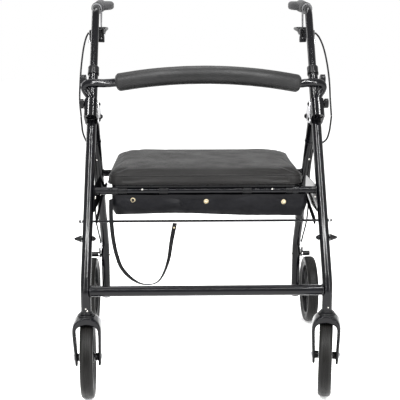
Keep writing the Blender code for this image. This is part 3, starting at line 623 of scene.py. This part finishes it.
def pouch():
    """An open bag with creased walls, a sagging floor, a hem, snaps and loops round the seat tube."""
    x0, x1, y0, y1, top, low, r = -0.2340, 0.2540, -0.1720, -0.0060, 0.4900, 0.4415, 0.016
    n, base = 320, []
    width, depth = x1 - x0 - 2 * r, y1 - y0 - 2 * r
    runs = ((width, 0), (math.pi * r / 2, 1), (depth, 0), (math.pi * r / 2, 1)) * 2
    total = 2 * (width + depth) + 2 * math.pi * r
    corners = ((x1 - r, y0 + r, -90), (x1 - r, y1 - r, 0), (x0 + r, y1 - r, 90), (x0 + r, y0 + r, 180))
    straight = ((x0 + r, y0, 1, 0, width), (x1, y0 + r, 0, 1, depth),
                (x1 - r, y1, -1, 0, width), (x0, y1 - r, 0, -1, depth))
    arc = math.pi * r / 2
    for i in range(n):
        want = total * i / n
        for (sx, sy, dx, dy, run), (cx, cy, start) in zip(straight, corners):
            if want <= run:
                base.append((sx + dx * want, sy + dy * want, dy, -dx))
                break
            want -= run
            if want <= arc:
                t = math.radians(start) + want / r
                base.append((cx + r * math.cos(t), cy + r * math.sin(t), math.cos(t), math.sin(t)))
                break
            want -= arc
    verts = []
    walls, floor = 14, 10
    for k in range(walls + 1):
        v = k / walls
        for x, y, nx, ny in base:
            crease = noise.noise(Vector((x * 22, y * 22, v * 1.6))) * 0.0046
            fine = noise.noise(Vector((x * 70 + 9, y * 70, v * 3.5))) * 0.0019
            belly = 0.0032 * math.sin(math.pi * min(1, v * 1.1))
            out = belly + crease * math.sin(math.pi * v) ** 0.5 + fine * min(1, 5 * v)
            out -= 0.006 * v ** 5
            right = max(0, (x + 0.05) / 0.30)
            droop = 0.0016 * math.sin(x * 19) + 0.0085 * right ** 1.6
            verts.append((x + nx * out, y + ny * out, top - v * (top - low + droop * v)))
    middle_x, middle_y = (x0 + x1) / 2, (y0 + y1) / 2
    edge = verts[-n:]
    for k in range(1, floor + 1):
        w = k / floor
        for x, y, z in edge:
            px = x + (middle_x * 0.15 + x * 0.85 - x) * w
            py = y + (middle_y - y) * w * 0.985
            lump = noise.noise(Vector((px * 30, py * 30, 2))) * 0.0014
            sag = -0.0028 * math.sin(math.pi / 2 * w) + lump
            verts.append((px, py, z + sag * min(1, 3 * w)))
    faces = ring_faces(walls + floor + 1, n, caps=False)
    faces.append(tuple((walls + floor) * n + k for k in range(n))[::-1])
    bag = piece("pouch_bag", [mesh_of(verts, faces)], NYLON, None, angle=80)
    thick = bag.modifiers.new("thick", "SOLIDIFY")
    thick.thickness, thick.offset = 0.0009, -1
    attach(bag, "front_frame")
    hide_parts("pouch")
    hem_path = [
        (x + nx * 0.0002, y + ny * 0.0002, top - 0.0035 + 0.0004 * math.sin(x * 60))
        for x, y, nx, ny in base
    ]
    band = [(0.0011, 0.0052), (0.0016, 0.0), (0.0011, -0.0052), (-0.0011, -0.0052), (-0.0011, 0.0052)]
    piece("pouch_hem", [sweep(hem_path, band, closed=True, first=(0, -1, 0))], WEBBING,
          "front_frame")
    snaps = []
    for x, z, open_ring in (
        (-0.182, 0.4798, True), (0.0016, 0.4757, False), (0.1965, 0.4738, False),
    ):
        base_at = along((x, y0 - 0.0040, z), (0, -1, 0))
        snaps.append(lathe([(0.0034, 0), (0.0060, 0), (0.0063, 0.0009), (0.0054, 0.0020),
                            (0.0041, 0.0018), (0.0034, 0.0007)], base_at, 40, ring=True))
        if not open_ring:
            snaps.append(lathe([(0, 0), (0.0035, 0), (0.0032, 0.0012), (0.0018, 0.0018), (0, 0.0020)],
                               base_at, 24))
    piece("pouch_snaps", snaps, BRASS, "front_frame")
    loops = []
    for x in (-0.2080, -0.1050, 0.1050, 0.2140):
        ring = []
        for k in range(24):
            t = math.pi * (1.5 + 2 * k / 24)
            ring.append(SEAT_TUBE + Vector((x, 0.0107 * math.cos(t), 0.0107 * math.sin(t) - 0.0002)))
        loops.append(sweep(ring, flat(0.0012, 0.022), closed=True, first=(0, 0, -1)))
        drop = [SEAT_TUBE + Vector((x, -0.0055, -0.0098)), SEAT_TUBE + Vector((x, -0.0082, -0.0150)),
                (x, y0 + 0.0008, 0.4810)]
        loops.append(sweep(drop, flat(0.0010, 0.022), first=(0, -1, 0.2)))
    piece("pouch_loops", loops, CABLE, "front_frame")


pouch()


def strap():
    front = ROD.y - 0.0032 - 0.0043
    route = [
        (-0.2365, -0.1765, 0.482), (-0.2360, -0.192, 0.464), (-0.2340, front - 0.001, 0.434),
        (-0.2300, front, 0.386), (-0.2217, front, 0.344), (-0.2090, front, 0.311),
        (-0.1800, front, 0.281), (-0.1478, front, 0.270), (-0.1170, front, 0.281),
        (-0.0955, front, 0.327), (-0.0855, front, 0.385), (-0.0770, front, 0.4285),
    ]
    path = smooth_path(route, 6)

    def facing(t):
        """Turns part of the webbing's broad face to the front, but only its edge low on the right."""
        turns = ((0.0, 62), (0.15, 58), (0.5, 56), (0.62, 30), (0.74, 26), (0.94, 62), (1.0, 62))
        for (a, low), (b, high) in zip(turns, turns[1:]):
            if t <= b:
                return -math.radians(low + (high - low) * (t - a) / (b - a))

    ribbon = piece(
        "fold_strap",
        [sweep(path, [(0.0008, 0.0060), (0.0010, 0), (0.0008, -0.0060), (-0.0008, -0.0060),
                      (-0.0010, 0), (-0.0008, 0.0060)], first=(-0.97, 0.18, 0.1), twist=facing)],
        WEBBING, "front_frame", ("strap",),
    )
    loop = []
    for k in range(20):
        t = 2 * math.pi * k / 20
        loop.append(ROD + Vector((-0.0770, 0.0046 * math.cos(t), 0.0046 * math.sin(t))))
    stitched = sweep(loop, flat(0.0012, 0.0120), closed=True, first=(0, 0, 1))
    piece("fold_strap_loop", [stitched], WEBBING, "front_frame")
    rivet = bolt_head((-0.0790, front - 0.0026, 0.4175), (0, -1, 0), 0.0016, 0.0018, False)
    piece("fold_strap_rivet", rivet, BRASS, "front_frame")


strap()


# Wheels

def wheel(name, body, base):
    """A grooved solid tyre on a moulded five-spoke rim, about its frame's Z axis."""
    steps = 96
    edge = [(0.0818, 0.0118), (0.0850, 0.0135), (0.0895, 0.0158), (0.0935, 0.0163),
            (0.0975, 0.0150), (0.1000, 0.0122), (0.1010, 0.0085)]
    crown = []
    for z in (0.0062, 0.0022):
        crown += [(0.1013, z + 0.0011), (0.1006, z + 0.0007),
                  (0.1006, z - 0.0003), (0.1014, z - 0.0007)]
    upper = edge + crown
    profile = upper + [(r, -z) for r, z in reversed(upper)]
    piece(f"{name}_tyre_skin", [lathe(profile, base, steps, ring=True)], TYRE, body,
          (name.replace("wheel", "tyre"),), 30)
    band = lathe([(0.0817, 0.0112), (0.0810, 0.0118), (0.0760, 0.0118), (0.0738, 0.0104),
                  (0.0728, 0.0040), (0.0728, -0.0040), (0.0738, -0.0104), (0.0760, -0.0118),
                  (0.0810, -0.0118), (0.0817, -0.0112)], base, steps, ring=True)
    hub_side = [(0.0046, 0.0160), (0.0125, 0.0160), (0.0135, 0.0150), (0.0165, 0.0060),
                (0.0205, 0.0045)]
    hub = lathe(hub_side + [(r, -z) for r, z in reversed(hub_side)], base, 48, ring=True)
    spokes = []
    for k in range(5):
        turn = base @ Matrix.Rotation(2 * math.pi * (k + 0.5) / 5, 4, "Z")
        outline = [(0.0180, -0.0095), (0.0300, -0.0070), (0.0520, -0.0062), (0.0680, -0.0085),
                   (0.0750, -0.0150), (0.0750, 0.0150), (0.0680, 0.0085), (0.0520, 0.0062),
                   (0.0300, 0.0070), (0.0180, 0.0095)]
        spokes.append(prism(outline, 0.0090, turn, 0.0016))
        rib = [(0.0190, -0.0018), (0.0740, -0.0018), (0.0740, 0.0018), (0.0190, 0.0018)]
        spokes.append(prism(rib, 0.0150, turn, 0.0009, 2))
    piece(f"{name}_rim_moulding", [band, hub, *spokes], RIM, body,
          (name.replace("wheel", "rim"),))
    bearing = [
        lathe([(0.0046, z), (0.0100, z), (0.0104, z + d * 0.0004), (0.0100, z + d * 0.0008),
               (0.0046, z + d * 0.0006)], base, 40, ring=True)
        for z, d in ((0.0160, 1), (-0.0160, -1))
    ]
    piece(f"{name}_bearings", bearing, ZINC, body)


def axle(name, body, base, head, nut):
    """A six-sided bolt head, a shank, washers and a domed lock nut along the frame's Z axis."""
    shank = lathe([(0, head), (0.0039, head), (0.0039, nut), (0, nut)], base, 24)
    at, way = base @ Vector((0, 0, head + 0.0036)), base.to_3x3() @ Vector((0, 0, -1))
    top = base @ Vector((0, 0, nut - 0.0056))
    piece(f"{name}_bolt", [shank, *bolt_head(at, way, 0.0066, 0.0034),
                           *bolt_head(top, -way, 0.0068, 0.0052)], ZINC, body, (name,))


def turned_caster(side, s):
    swivel = Matrix.Translation((s * LEG_X, FRONT_Y, 0))
    return swivel @ Matrix.Rotation(CASTER_TURN[side], 4, "Z") @ swivel.inverted()


def fork(side, s):
    """A forged arch over the wheel.

    Each section is x, z, half its thickness, y, half its depth, and how far its front edge droops.
    """
    half = [
        (0.0284, 0.0800, 0.0030, TRAIL, 0.0120, 0), (0.0288, 0.0850, 0.0038, TRAIL, 0.0138, 0),
        (0.0290, 0.1011, 0.0041, TRAIL, 0.0145, 0), (0.0300, 0.1300, 0.0043, 0.0206, 0.0220, 0),
        (0.0311, 0.1600, 0.0044, 0.0151, 0.0290, 0), (0.0313, 0.1830, 0.0048, 0.0112, 0.0320, 0),
        (0.0296, 0.1930, 0.0056, 0.0080, 0.0305, 0.0010),
        (0.0252, 0.2010, 0.0064, 0.0055, 0.0285, 0.0030),
        (0.0170, 0.2085, 0.0074, 0.0035, 0.0265, 0.0055),
        (0.0080, 0.2128, 0.0080, 0.0030, 0.0255, 0.0065),
    ]
    crown = (0, 0.2136, 0.0082, 0.0030, 0.0252, 0.0068)
    run = [(-x, *rest) for x, *rest in half] + [crown] + half[::-1]
    whole = turned_caster(side, s) @ Matrix.Translation((s * LEG_X, FRONT_Y, 0))
    steps, verts = 36, []

    def squared(value):
        return math.copysign(abs(value) ** 0.5, value)

    for i, (x, z, thick, y, deep, droop) in enumerate(run):
        before, after = run[max(0, i - 1)], run[min(len(run) - 1, i + 1)]
        ahead = Vector((after[0] - before[0], after[1] - before[1])).normalized()
        for k in range(steps):
            t = 2 * math.pi * k / steps
            u, v = squared(math.cos(t)), squared(math.sin(t))
            out = thick * u - (droop * max(0, -v) if u < 0 else 0)
            verts.append(whole @ Vector((x - ahead.y * out, y + deep * v, z + ahead.x * out)))
    arch = mesh_of(verts, ring_faces(len(run), steps))
    neck = lathe([(0, 0.2090), (0.0190, 0.2090), (0.0190, 0.2178), (0.0064, 0.2182),
                  (0.0060, 0.2585), (0, 0.2590)], whole, 40)
    forging = piece(f"caster_fork_{side}_forging", [arch, neck], FRAME, f"caster_{side}",
                    (f"caster_fork_{side}",), 50)
    finer = forging.modifiers.new("finer", "SUBSURF")
    finer.levels = finer.render_levels = 1


def caster(side, s):
    turn = turned_caster(side, s)
    fork(side, s)
    at = Vector((s * LEG_X, FRONT_Y + TRAIL, AXLE_Z))
    base = turn @ along(at, (s, 0, 0))
    wheel(f"front_wheel_{side}", f"front_wheel_{side}", base)
    axle(f"front_axle_{side}", f"caster_{side}", base, -0.0372, 0.0392)
    spacers = []
    for d in (-1, 1):
        profile = [(0.0046, 0.0172), (0.0085, 0.0172), (0.0095, 0.0185),
                   (0.0095, 0.0248), (0.0080, 0.0261), (0.0046, 0.0261)]
        spacers.append(lathe([(r, d * z) for r, z in profile], base, 32, ring=True))
    piece(f"caster_spacers_{side}", spacers, PLASTIC, f"caster_{side}")
    foot = Matrix.Translation((s * LEG_X, FRONT_Y, 0))
    rings = [
        lathe([(0.0070, 0.2237), (0.0190, 0.2237), (0.0196, 0.2230), (0.0196, 0.2212),
               (0.0070, 0.2212)], foot, 48, ring=True),
        lathe([(0.0070, 0.2206), (0.0212, 0.2206), (0.0222, 0.2196), (0.0222, 0.2176),
               (0.0070, 0.2176)], foot, 48, ring=True),
    ]
    piece(f"caster_crown_rings_{side}", rings, PLASTIC, f"caster_{side}")
    race = lathe([(0.0068, 0.2241), (0.0142, 0.2241), (0.0148, 0.2247), (0.0148, 0.2283),
                  (0.0141, 0.2292), (0.01275, 0.2292), (0.01275, 0.2241)], foot, 48, ring=True)
    piece(f"caster_race_{side}", [race], PLASTIC, "front_frame")
    dots = []
    for x, z in ((0.0004, 0.2395), (0.0036, 0.2335)) if s < 0 else ((0.0008, 0.2385),):
        edge = math.sqrt(LEG_R ** 2 - x * x)
        at = (s * LEG_X + x, FRONT_Y - edge + 0.0002, z)
        dots += bolt_head(at, (x * 60, -1, 0), 0.0010, 0.0009, False)
    piece(f"leg_rivets_{side}", dots, NICKEL, "front_frame")


def rear_wheel(side, s):
    wheel_frame = along((s * REAR_WHEEL_X, REAR_Y, AXLE_Z), (s, 0, 0))
    leg_frame = along((s * REAR_X, REAR_Y, AXLE_Z), (s, 0, 0))
    wheel(f"rear_wheel_{side}", f"rear_wheel_{side}", wheel_frame)
    axle(f"rear_axle_{side}", "rear_frame", leg_frame, -0.0168, 0.0645)
    spacer = lathe([(0.0046, 0.0130), (0.0088, 0.0130), (0.0095, 0.0140), (0.0095, 0.0238),
                    (0.0085, 0.0250), (0.0046, 0.0250)], leg_frame, 32, ring=True)
    foot = lathe([(0, 0.0795), (0.0122, 0.0795), (0.0136, 0.0805), (0.0138, 0.0870), (0.0130, 0.0878)],
                 Matrix.Translation((s * REAR_X, REAR_Y, 0)), 40)
    piece(f"rear_foot_{side}", [spacer, foot], PLASTIC, "rear_frame")


# Hand grips, brake levers and knobs

def grip(side, s):
    body = f"handle_{side}"
    start = grip_at(0, s)
    base = along(start, GRIP_WAY)
    profile = [(0.0109, 0.0006), (0.0158, 0.0006), (0.0165, 0.0014), (0.0165, 0.0060), (0.0155, 0.0072)]
    for k in range(9):
        y = 0.0095 + k * 0.0040
        profile += [(0.0158, y), (0.0163, y + 0.0010), (0.0163, y + 0.0020), (0.0157, y + 0.0030)]
    profile += [(0.0163, 0.050), (0.0168, 0.070), (0.0174, 0.095), (0.0172, 0.112), (0.0160, 0.1205),
                (0.0125, 0.1258), (0.0060, 0.1268), (0, 0.1270)]
    shapes = [lathe(profile, base, 56)]
    wing = [(0.0060, 0.034), (-0.0180, 0.040), (-0.0270, 0.048), (-0.0345, 0.060), (-0.0388, 0.076),
            (-0.0396, 0.092), (-0.0375, 0.106), (-0.0310, 0.116), (-0.0200, 0.121), (0.0060, 0.121)]
    slope = Matrix.Translation(start) @ Matrix.Rotation(GRIP_RISE, 4, "X")
    outline = [(s * u, v) for u, v in wing]
    lifted = slope @ Matrix.Translation((0, 0, 0.0020))
    shapes.append(prism(outline if s > 0 else outline[::-1], 0.0220, lifted, 0.0075, 6))
    piece(f"grip_{side}_sleeve", shapes, GRIP, body, (f"grip_{side}",), 50)
    inset = [(s * (u * 0.66 - 0.0070), 0.082 + (v - 0.082) * 0.62) for u, v in wing]
    raised = slope @ Matrix.Translation((0, 0, 0.0131))
    panel = prism(inset if s > 0 else inset[::-1], 0.0010, raised, 0.0004)
    piece(f"grip_{side}_panel", [panel], PLASTIC, body)


def clamp(side, s):
    x, body = s * LEG_X, f"handle_{side}"
    base = along(grip_at(-0.0135, s), GRIP_WAY)
    top = grip_at(-0.0075, s)
    ring = lathe([(0.0108, 0), (0.0138, 0), (0.0145, 0.0010), (0.0145, 0.0110), (0.0138, 0.0120),
                  (0.0108, 0.0120)], base, 56, ring=True)
    cheeks = []
    start, end = Vector((top.y, top.z - 0.003)), Vector((LEVER_Y, LEVER_Z))
    slope = (end - start).normalized()
    square = Vector((-slope.y, slope.x))
    outline = []
    for centre, radius, turn in ((start, 0.0055, 0), (end, 0.0075, math.pi)):
        for k in range(9):
            t = turn - math.pi / 2 + math.pi * k / 8
            outline.append(tuple(centre - slope * radius * math.cos(t) - square * radius * math.sin(t)))
    for d in (-0.0125, 0.0125):
        cheeks.append(prism(outline, 0.0020, facing_x(x + d), 0.0006))
    pin = lathe([(0, -0.0200), (0.0030, -0.0200), (0.0034, -0.0196), (0.0034, 0.0196), (0.0030, 0.0200),
                 (0, 0.0200)], along((x, LEVER_Y, LEVER_Z), (1, 0, 0)), 24)
    piece(f"brake_clamp_{side}_body", [ring, *cheeks, pin], PLASTIC, body,
          (f"brake_clamp_{side}",))
    band = lathe([(0.01085, -0.0036), (0.0141, -0.0036), (0.0147, -0.0030), (0.0147, -0.0018),
                  (0.0141, -0.0012), (0.01085, -0.0012)], base, 48, ring=True)
    inner = x - s * 0.0126
    strip = sweep([(inner, 0.1496, 0.945), (inner, 0.1446, 0.926), (inner, 0.1384, 0.9055)],
                  flat(0.0056, 0.0014),
                  scale=lambda t: 1 - 0.3 * t, first=(1, 0, 0))
    piece(f"clamp_band_{side}", [band, strip], GREY_PLASTIC, body)


def lever(side, s):
    x, body = s * LEG_X, f"lever_{side}"
    arm = 0.0182
    corners = [
        (x + arm, LEVER_Y, LEVER_Z + 0.001), (x + arm, LEVER_Y + 0.045, 0.8945),
        (x + arm, 0.268, 0.9005), (x - arm, 0.268, 0.9005),
        (x - arm, LEVER_Y + 0.045, 0.8945), (x - arm, LEVER_Y, LEVER_Z + 0.001),
    ]
    loop = pipe(rounded_path(corners, 0.0135, 8), 0.0041, 20)
    shapes = [loop]
    for d, down, up in ((-s * 0.01735, 0.0200, 0.0180), (s * 0.01735, 0.0180, 0.0140)):
        low = (x + d - 0.0031, LEVER_Y - 0.009, LEVER_Z - down)
        high = (x + d + 0.0031, LEVER_Y + 0.010, LEVER_Z + up)
        shapes.append(block(low, high, 0.0026))
    for inner, outer, down, up, bevel in (
        (0.0110, 0.0020, 0.0190, 0.0160, 0.0026), (0.0200, 0.0030, 0.0195, -0.0088, 0.0024),
    ):
        near, far = sorted((x - s * inner, x - s * outer))
        shapes.append(block((near, LEVER_Y - 0.0085, LEVER_Z - down),
                            (far, LEVER_Y + 0.0090, LEVER_Z + up), bevel))
    piece(f"brake_lever_{side}_loop", shapes, PLASTIC, body, (f"brake_lever_{side}",))
    ends = []
    for d in (-1, 1):
        ends += bolt_head((x + d * 0.0203, LEVER_Y, LEVER_Z), (d, 0, 0), 0.0026, 0.0014, False)
    piece(f"lever_pin_heads_{side}", ends, ZINC, body)
    tip = Vector((s * (LEG_X + 0.0205), LEVER_Y - 0.004, LEVER_Z - 0.017))
    collar = lathe([(0, -0.004), (0.0030, -0.004), (0.0036, -0.003), (0.0036, 0.004), (0.0028, 0.006),
                    (0, 0.006)], along(tip, (s * 0.15, -0.1, -1)), 24)
    piece(f"cable_adjuster_{side}", [collar], ZINC, f"handle_{side}")


def knob(name, s, at, inner, thick, radius, stud):
    """A three-lobed hand knob with a round boss and a stud."""
    outline = []
    for i in range(72):
        t = 2 * math.pi * i / 72
        r = radius * (0.90 + 0.24 * (0.5 + 0.5 * math.cos(3 * t)) ** 1.4)
        outline.append((at.y + r * math.cos(t), at.z + r * math.sin(t)))
    middle = s * (inner + thick / 2)
    lobes = prism(outline, thick, facing_x(middle), thick * 0.3, 5)
    base = along((0, at.y, at.z), (s, 0, 0))
    boss = lathe([(0.0030, inner - 0.0013), (0.0068, inner - 0.0013), (0.0080, inner + 0.002),
                  (0.0030, inner + 0.002)], base, 36, ring=True)
    dome = lathe([(radius * 0.52, inner + thick - 0.001), (radius * 0.50, inner + thick + 0.0004),
                  (radius * 0.30, inner + thick + 0.0012), (0, inner + thick + 0.0014)], base, 36)
    post = lathe([(0, stud), (0.0029, stud), (0.0029, inner + 0.002), (0, inner + 0.002)], base, 20)
    piece(f"{name}_hand", [lobes, boss, dome, post], PLASTIC, name, (name,), 42)


def collar(side, s):
    base = along(leg_at(LEG_TOP_Z, s), UP)
    profile = [(0.0110, 0.0045), (0.0124, 0.0045), (0.0132, 0.0040), (0.0146, 0.0022), (0.0148, 0.0010),
               (0.0146, -0.0120), (0.0146, -0.0138), (0.0152, -0.0142), (0.0152, -0.0190),
               (0.0146, -0.0200), (0.0131, -0.0200), (0.0131, 0.0004), (0.0110, 0.0004)]
    piece(f"handle_collar_{side}_ring", [lathe(profile, base, 56, ring=True)], PLASTIC, "front_frame",
          (f"handle_collar_{side}",))


def cables(side, s):
    """Housings from the lever down the leg to the fold axis, and on down the rear leg to the brake."""
    bow, fold_x = (2.05, 0.3400) if s > 0 else (1.18, 0.3245)
    upper = [
        (0.0236, 0.888, 0.056), (0.0285, 0.874, 0.052), (0.0325, 0.846, 0.044),
        (0.0350, 0.805, 0.038), (0.0358, 0.760, 0.034), (0.0352, 0.715, 0.034),
    ]
    end = Vector((s * fold_x, PIVOT.y, PIVOT.z))
    path = [leg_at(z, s) + Vector((s * (0.0236 + (dx - 0.0236) * bow), dy, 0)) for dx, z, dy in upper]
    housing = pipe(smooth_path([*path, end + UP * CABLE_GAP], 8), 0.0024, 16)
    piece(f"cable_upper_{side}_housing", [housing], CABLE, "front_frame",
          (f"cable_upper_{side}",))
    lower = [
        (fold_x, -0.0040, 0.648), (fold_x - 0.0015, 0.0040, 0.626), (fold_x - 0.0085, 0.0140, 0.603),
        (0.3045, 0.0300, 0.580), (0.3005, 0.0480, 0.553), (0.3010, 0.0800, 0.505),
        (0.3050, 0.1150, 0.452), (0.3110, 0.1550, 0.386), (0.3120, 0.1850, 0.336),
        (0.3060, 0.2150, 0.280), (0.3050, 0.2300, 0.256),
    ]
    path = [end - UP * CABLE_GAP] + [Vector((s * x, y, z)) for x, y, z in lower]
    piece(f"cable_lower_{side}_housing", [pipe(smooth_path(path, 8), 0.0024, 16)], CABLE, "rear_frame",
          (f"cable_lower_{side}",))


# Fasteners, links and brakes on the frame

def frame_hardware(side, s):
    cone = leg_at(BOLT_Z, s)
    base = along((0, cone.y, cone.z), (s, 0, 0))
    caps = [
        lathe([(0.0030, 0.3062), (0.0088, 0.3062), (0.0090, 0.3074), (0.0080, 0.3100), (0.0034, 0.3222),
               (0.0022, 0.3244), (0, 0.3248)], base, 40),
        lathe([(0.0030, 0.2800), (0.0070, 0.2790), (0.0072, 0.2780), (0.0034, 0.2722),
               (0, 0.2704)], base, 40),
        lathe([(0, 0.2780), (0.0029, 0.2780), (0.0029, 0.3070), (0, 0.3070)], base, 20),
    ]
    piece(f"cone_caps_{side}", caps, PLASTIC, "front_frame", (f"frame_bolt_{side}",))
    clip = [
        (s * 0.3085, ROD.y, ROD.z + 0.004), (s * 0.3092, ROD.y - 0.002, ROD.z - 0.004),
        (s * 0.3125, ROD.y - 0.010, ROD.z - 0.016), (s * 0.3165, cone.y + 0.004, cone.z + 0.010),
    ]
    tie = sweep(smooth_path(clip, 6), flat(0.0010, 0.0044), first=(s, 0, 0.25))
    rod_nut = bolt_head((s * 0.3064, ROD.y, ROD.z), (s, 0, 0), 0.0046, 0.0034)
    piece(f"rod_clip_{side}", [tie, *rod_nut], ZINC, "front_frame")
    cap = lathe([(0.0032, 0.3098), (0.0046, 0.3100), (0.0048, 0.3125), (0.0030, 0.3145), (0, 0.3148)],
                along((0, ROD.y, ROD.z), (s, 0, 0)), 24)
    piece(f"rod_cap_{side}", [cap], PLASTIC, "front_frame")
    heads = []
    for at in (leg_at(0.697, s) + AHEAD * 0.020, leg_at(0.666, s) + AHEAD * 0.006):
        heads += bolt_head((s * 0.2723, at.y, at.z), (-s, 0, 0), 0.0042, 0.0034)
    heads += bolt_head((s * 0.2723, PIVOT.y, PIVOT.z), (-s, 0, 0), 0.0056, 0.0048)
    piece(f"pivot_bolts_{side}", heads, PLASTIC, "front_frame")
    screws = bolt_head((s * 0.2773, -0.0300, 0.4660), (-s, 0, 0), 0.0030, 0.0020, False)
    screws += bolt_head((s * 0.2773, -0.1680, 0.4850), (-s, 0, 0), 0.0030, 0.0020, False)
    piece(f"side_plate_bolts_{side}", screws, NICKEL, "front_frame")
    welds = [
        bead((s * 0.2800, FRONT_Y, 0.280), (1, 0, 0), 0.0128, 0.0017),
        bead((s * 0.2797, SEAT_TUBE.y, SEAT_TUBE.z), (1, 0, 0), 0.0096, 0.0011),
    ]
    piece(f"front_welds_{side}", welds, FRAME, "front_frame")
    joint = rear_leg_at(0.5005, s)
    inner = joint.x * s - LEG_R
    piece(f"rear_weld_{side}", [bead((s * inner, joint.y, joint.z), (1, 0, 0), 0.0097, 0.0014)], FRAME,
          "rear_frame")
    dot = rear_leg_at(0.5515, s) + Vector((0.0010 + s * 0.0020, 0, 0))
    square = Vector((0, -0.831, -0.556))
    piece(f"rear_leg_rivet_{side}", bolt_head(dot + square * 0.0124, square, 0.0015, 0.0010, False),
          NICKEL, "rear_frame")
    clips = []
    for z in (0.600, 0.430, 0.345):
        at = rear_leg_at(z, s)
        way = (rear_leg_at(z - 0.01, s) - at).normalized()
        clips.append(lathe([(0.0128, -0.0022), (0.0136, -0.0022), (0.0138, 0), (0.0136, 0.0022),
                            (0.0128, 0.0022)], along(at, way), 40, ring=True))
    piece(f"cable_ties_{side}", clips, PLASTIC, "rear_frame")
    adjuster = along((s * 0.3050, 0.2300, 0.2560), (0, 0.42, -0.9))
    parts = [
        lathe([(0, -0.012), (0.0034, -0.012), (0.0040, -0.010), (0.0040, -0.002), (0.0030, -0.001),
               (0.0030, 0.006), (0.0045, 0.0065), (0.0045, 0.0095), (0, 0.0095)], adjuster, 28),
        pipe([(s * 0.3050, 0.2340, 0.2480), (s * 0.3078, 0.2440, 0.2410)], 0.0008, 8),
    ]
    piece(f"brake_adjuster_{side}", parts, ZINC, "rear_frame")
    pin = bolt_head((s * 0.3127, REAR_Y, BRAKE_PIVOT_Z), (s, 0, 0), 0.0048, 0.0040)
    piece(f"brake_pivot_bolt_{side}", pin, ZINC, f"brake_{side}")
    inner_end = bolt_head((s * 0.2829, REAR_Y, BRAKE_PIVOT_Z), (-s, 0, 0), 0.0036, 0.0036, False)
    piece(f"brake_inner_bolt_{side}", inner_end, NICKEL, "rear_frame")
    shoe = lathe([(0.0074, 0.3140), (0.0079, 0.3146), (0.0079, 0.3405), (0.0070, 0.3414), (0, 0.3414)],
                 along((0, REAR_Y + 0.022, AXLE_Z + 0.1095), (s, 0, 0)), 28)
    piece(f"brake_shoe_{side}", [shoe], CABLE, f"brake_{side}")
    link_end = rear_leg_at(LINK_PIVOT_Z, s)
    pin = bolt_head((s * 0.2735, link_end.y, link_end.z), (-s, 0, 0), 0.0040, 0.0026)
    piece(f"link_pin_head_{side}", pin, ZINC, "rear_links")
    rivet = bolt_head((s * 0.2700, KNEE_Y, KNEE_Z), (-s, 0, 0), 0.0042, 0.0022, False)
    piece(f"knee_rivet_{side}", rivet, ZINC, "front_links")


for side, s in SIDES:
    caster(side, s)
    rear_wheel(side, s)
    grip(side, s)
    clamp(side, s)
    lever(side, s)
    collar(side, s)
    knob(f"height_knob_{side}", s, leg_at(HEIGHT_KNOB_Z, s), 0.3105, 0.012, 0.0180, 0.3037)
    socket = leg_at(BACKREST_KNOB_Z, s) + AHEAD * SOCKET_AHEAD
    knob(f"backrest_knob_{side}", s, socket, 0.3112, 0.010, 0.0117, 0.3040)
    cables(side, s)
    frame_hardware(side, s)


# Floor, light and background

def studio():
    floor = bpy.data.objects.new("floor", mesh_of(
        [(-9, -6, 0), (9, -6, 0), (9, 12, 0), (-9, 12, 0)], [(0, 1, 2, 3)]))
    f = Finish("pale_floor", 0.8, Specular_IOR_Level=0.0, Emission_Color=(1, 1, 1, 1),
               Emission_Strength=0.22)
    f.colour(f.noise(2), (0.86, 0.86, 0.86), (0.90, 0.90, 0.90))
    floor.data.materials.append(f.made)
    bpy.context.scene.collection.objects.link(floor)
    world = bpy.data.worlds.new("studio")
    world.use_nodes = True
    world.node_tree.nodes["Background"].inputs["Color"].default_value = (1, 1, 1, 1)
    world.node_tree.nodes["Background"].inputs["Strength"].default_value = 1.0
    bpy.context.scene.world = world
    for name, at, aim, size, power in (
        ("left_strip", (-1.5, -2.3, 1.3), (0, 0, 0.6), (0.09, 2.2), 42),
        ("right_strip", (1.7, -2.1, 1.3), (0, 0, 0.6), (0.09, 2.2), 42),
        ("left_high", (-1.25, -1.7, 2.9), (0, 0, 0.6), (0.09, 1.7), 120),
        ("right_high", (1.15, -1.7, 2.9), (0, 0, 0.6), (0.09, 1.7), 120),
        ("front_bar", (0, -2.1, 2.5), (0, 0, 0.5), (3.2, 0.05), 60),
        ("top", (-0.2, 0.5, 2.6), (0, 0, 0.5), (1.6, 0.5), 30),
        ("rim", (-2.2, 1.8, 1.6), (0, 0, 0.5), (0.3, 2.0), 24),
    ):
        light = bpy.data.lights.new(name, "AREA")
        light.shape, light.size, light.size_y, light.energy = "RECTANGLE", *size, power
        lamp = bpy.data.objects.new(name, light)
        lamp.location = at
        lamp.rotation_euler = (Vector(aim) - Vector(at)).to_track_quat("-Z", "Y").to_euler()
        bpy.context.scene.collection.objects.link(lamp)
    bpy.context.scene.view_settings.view_transform = "Standard"


studio()
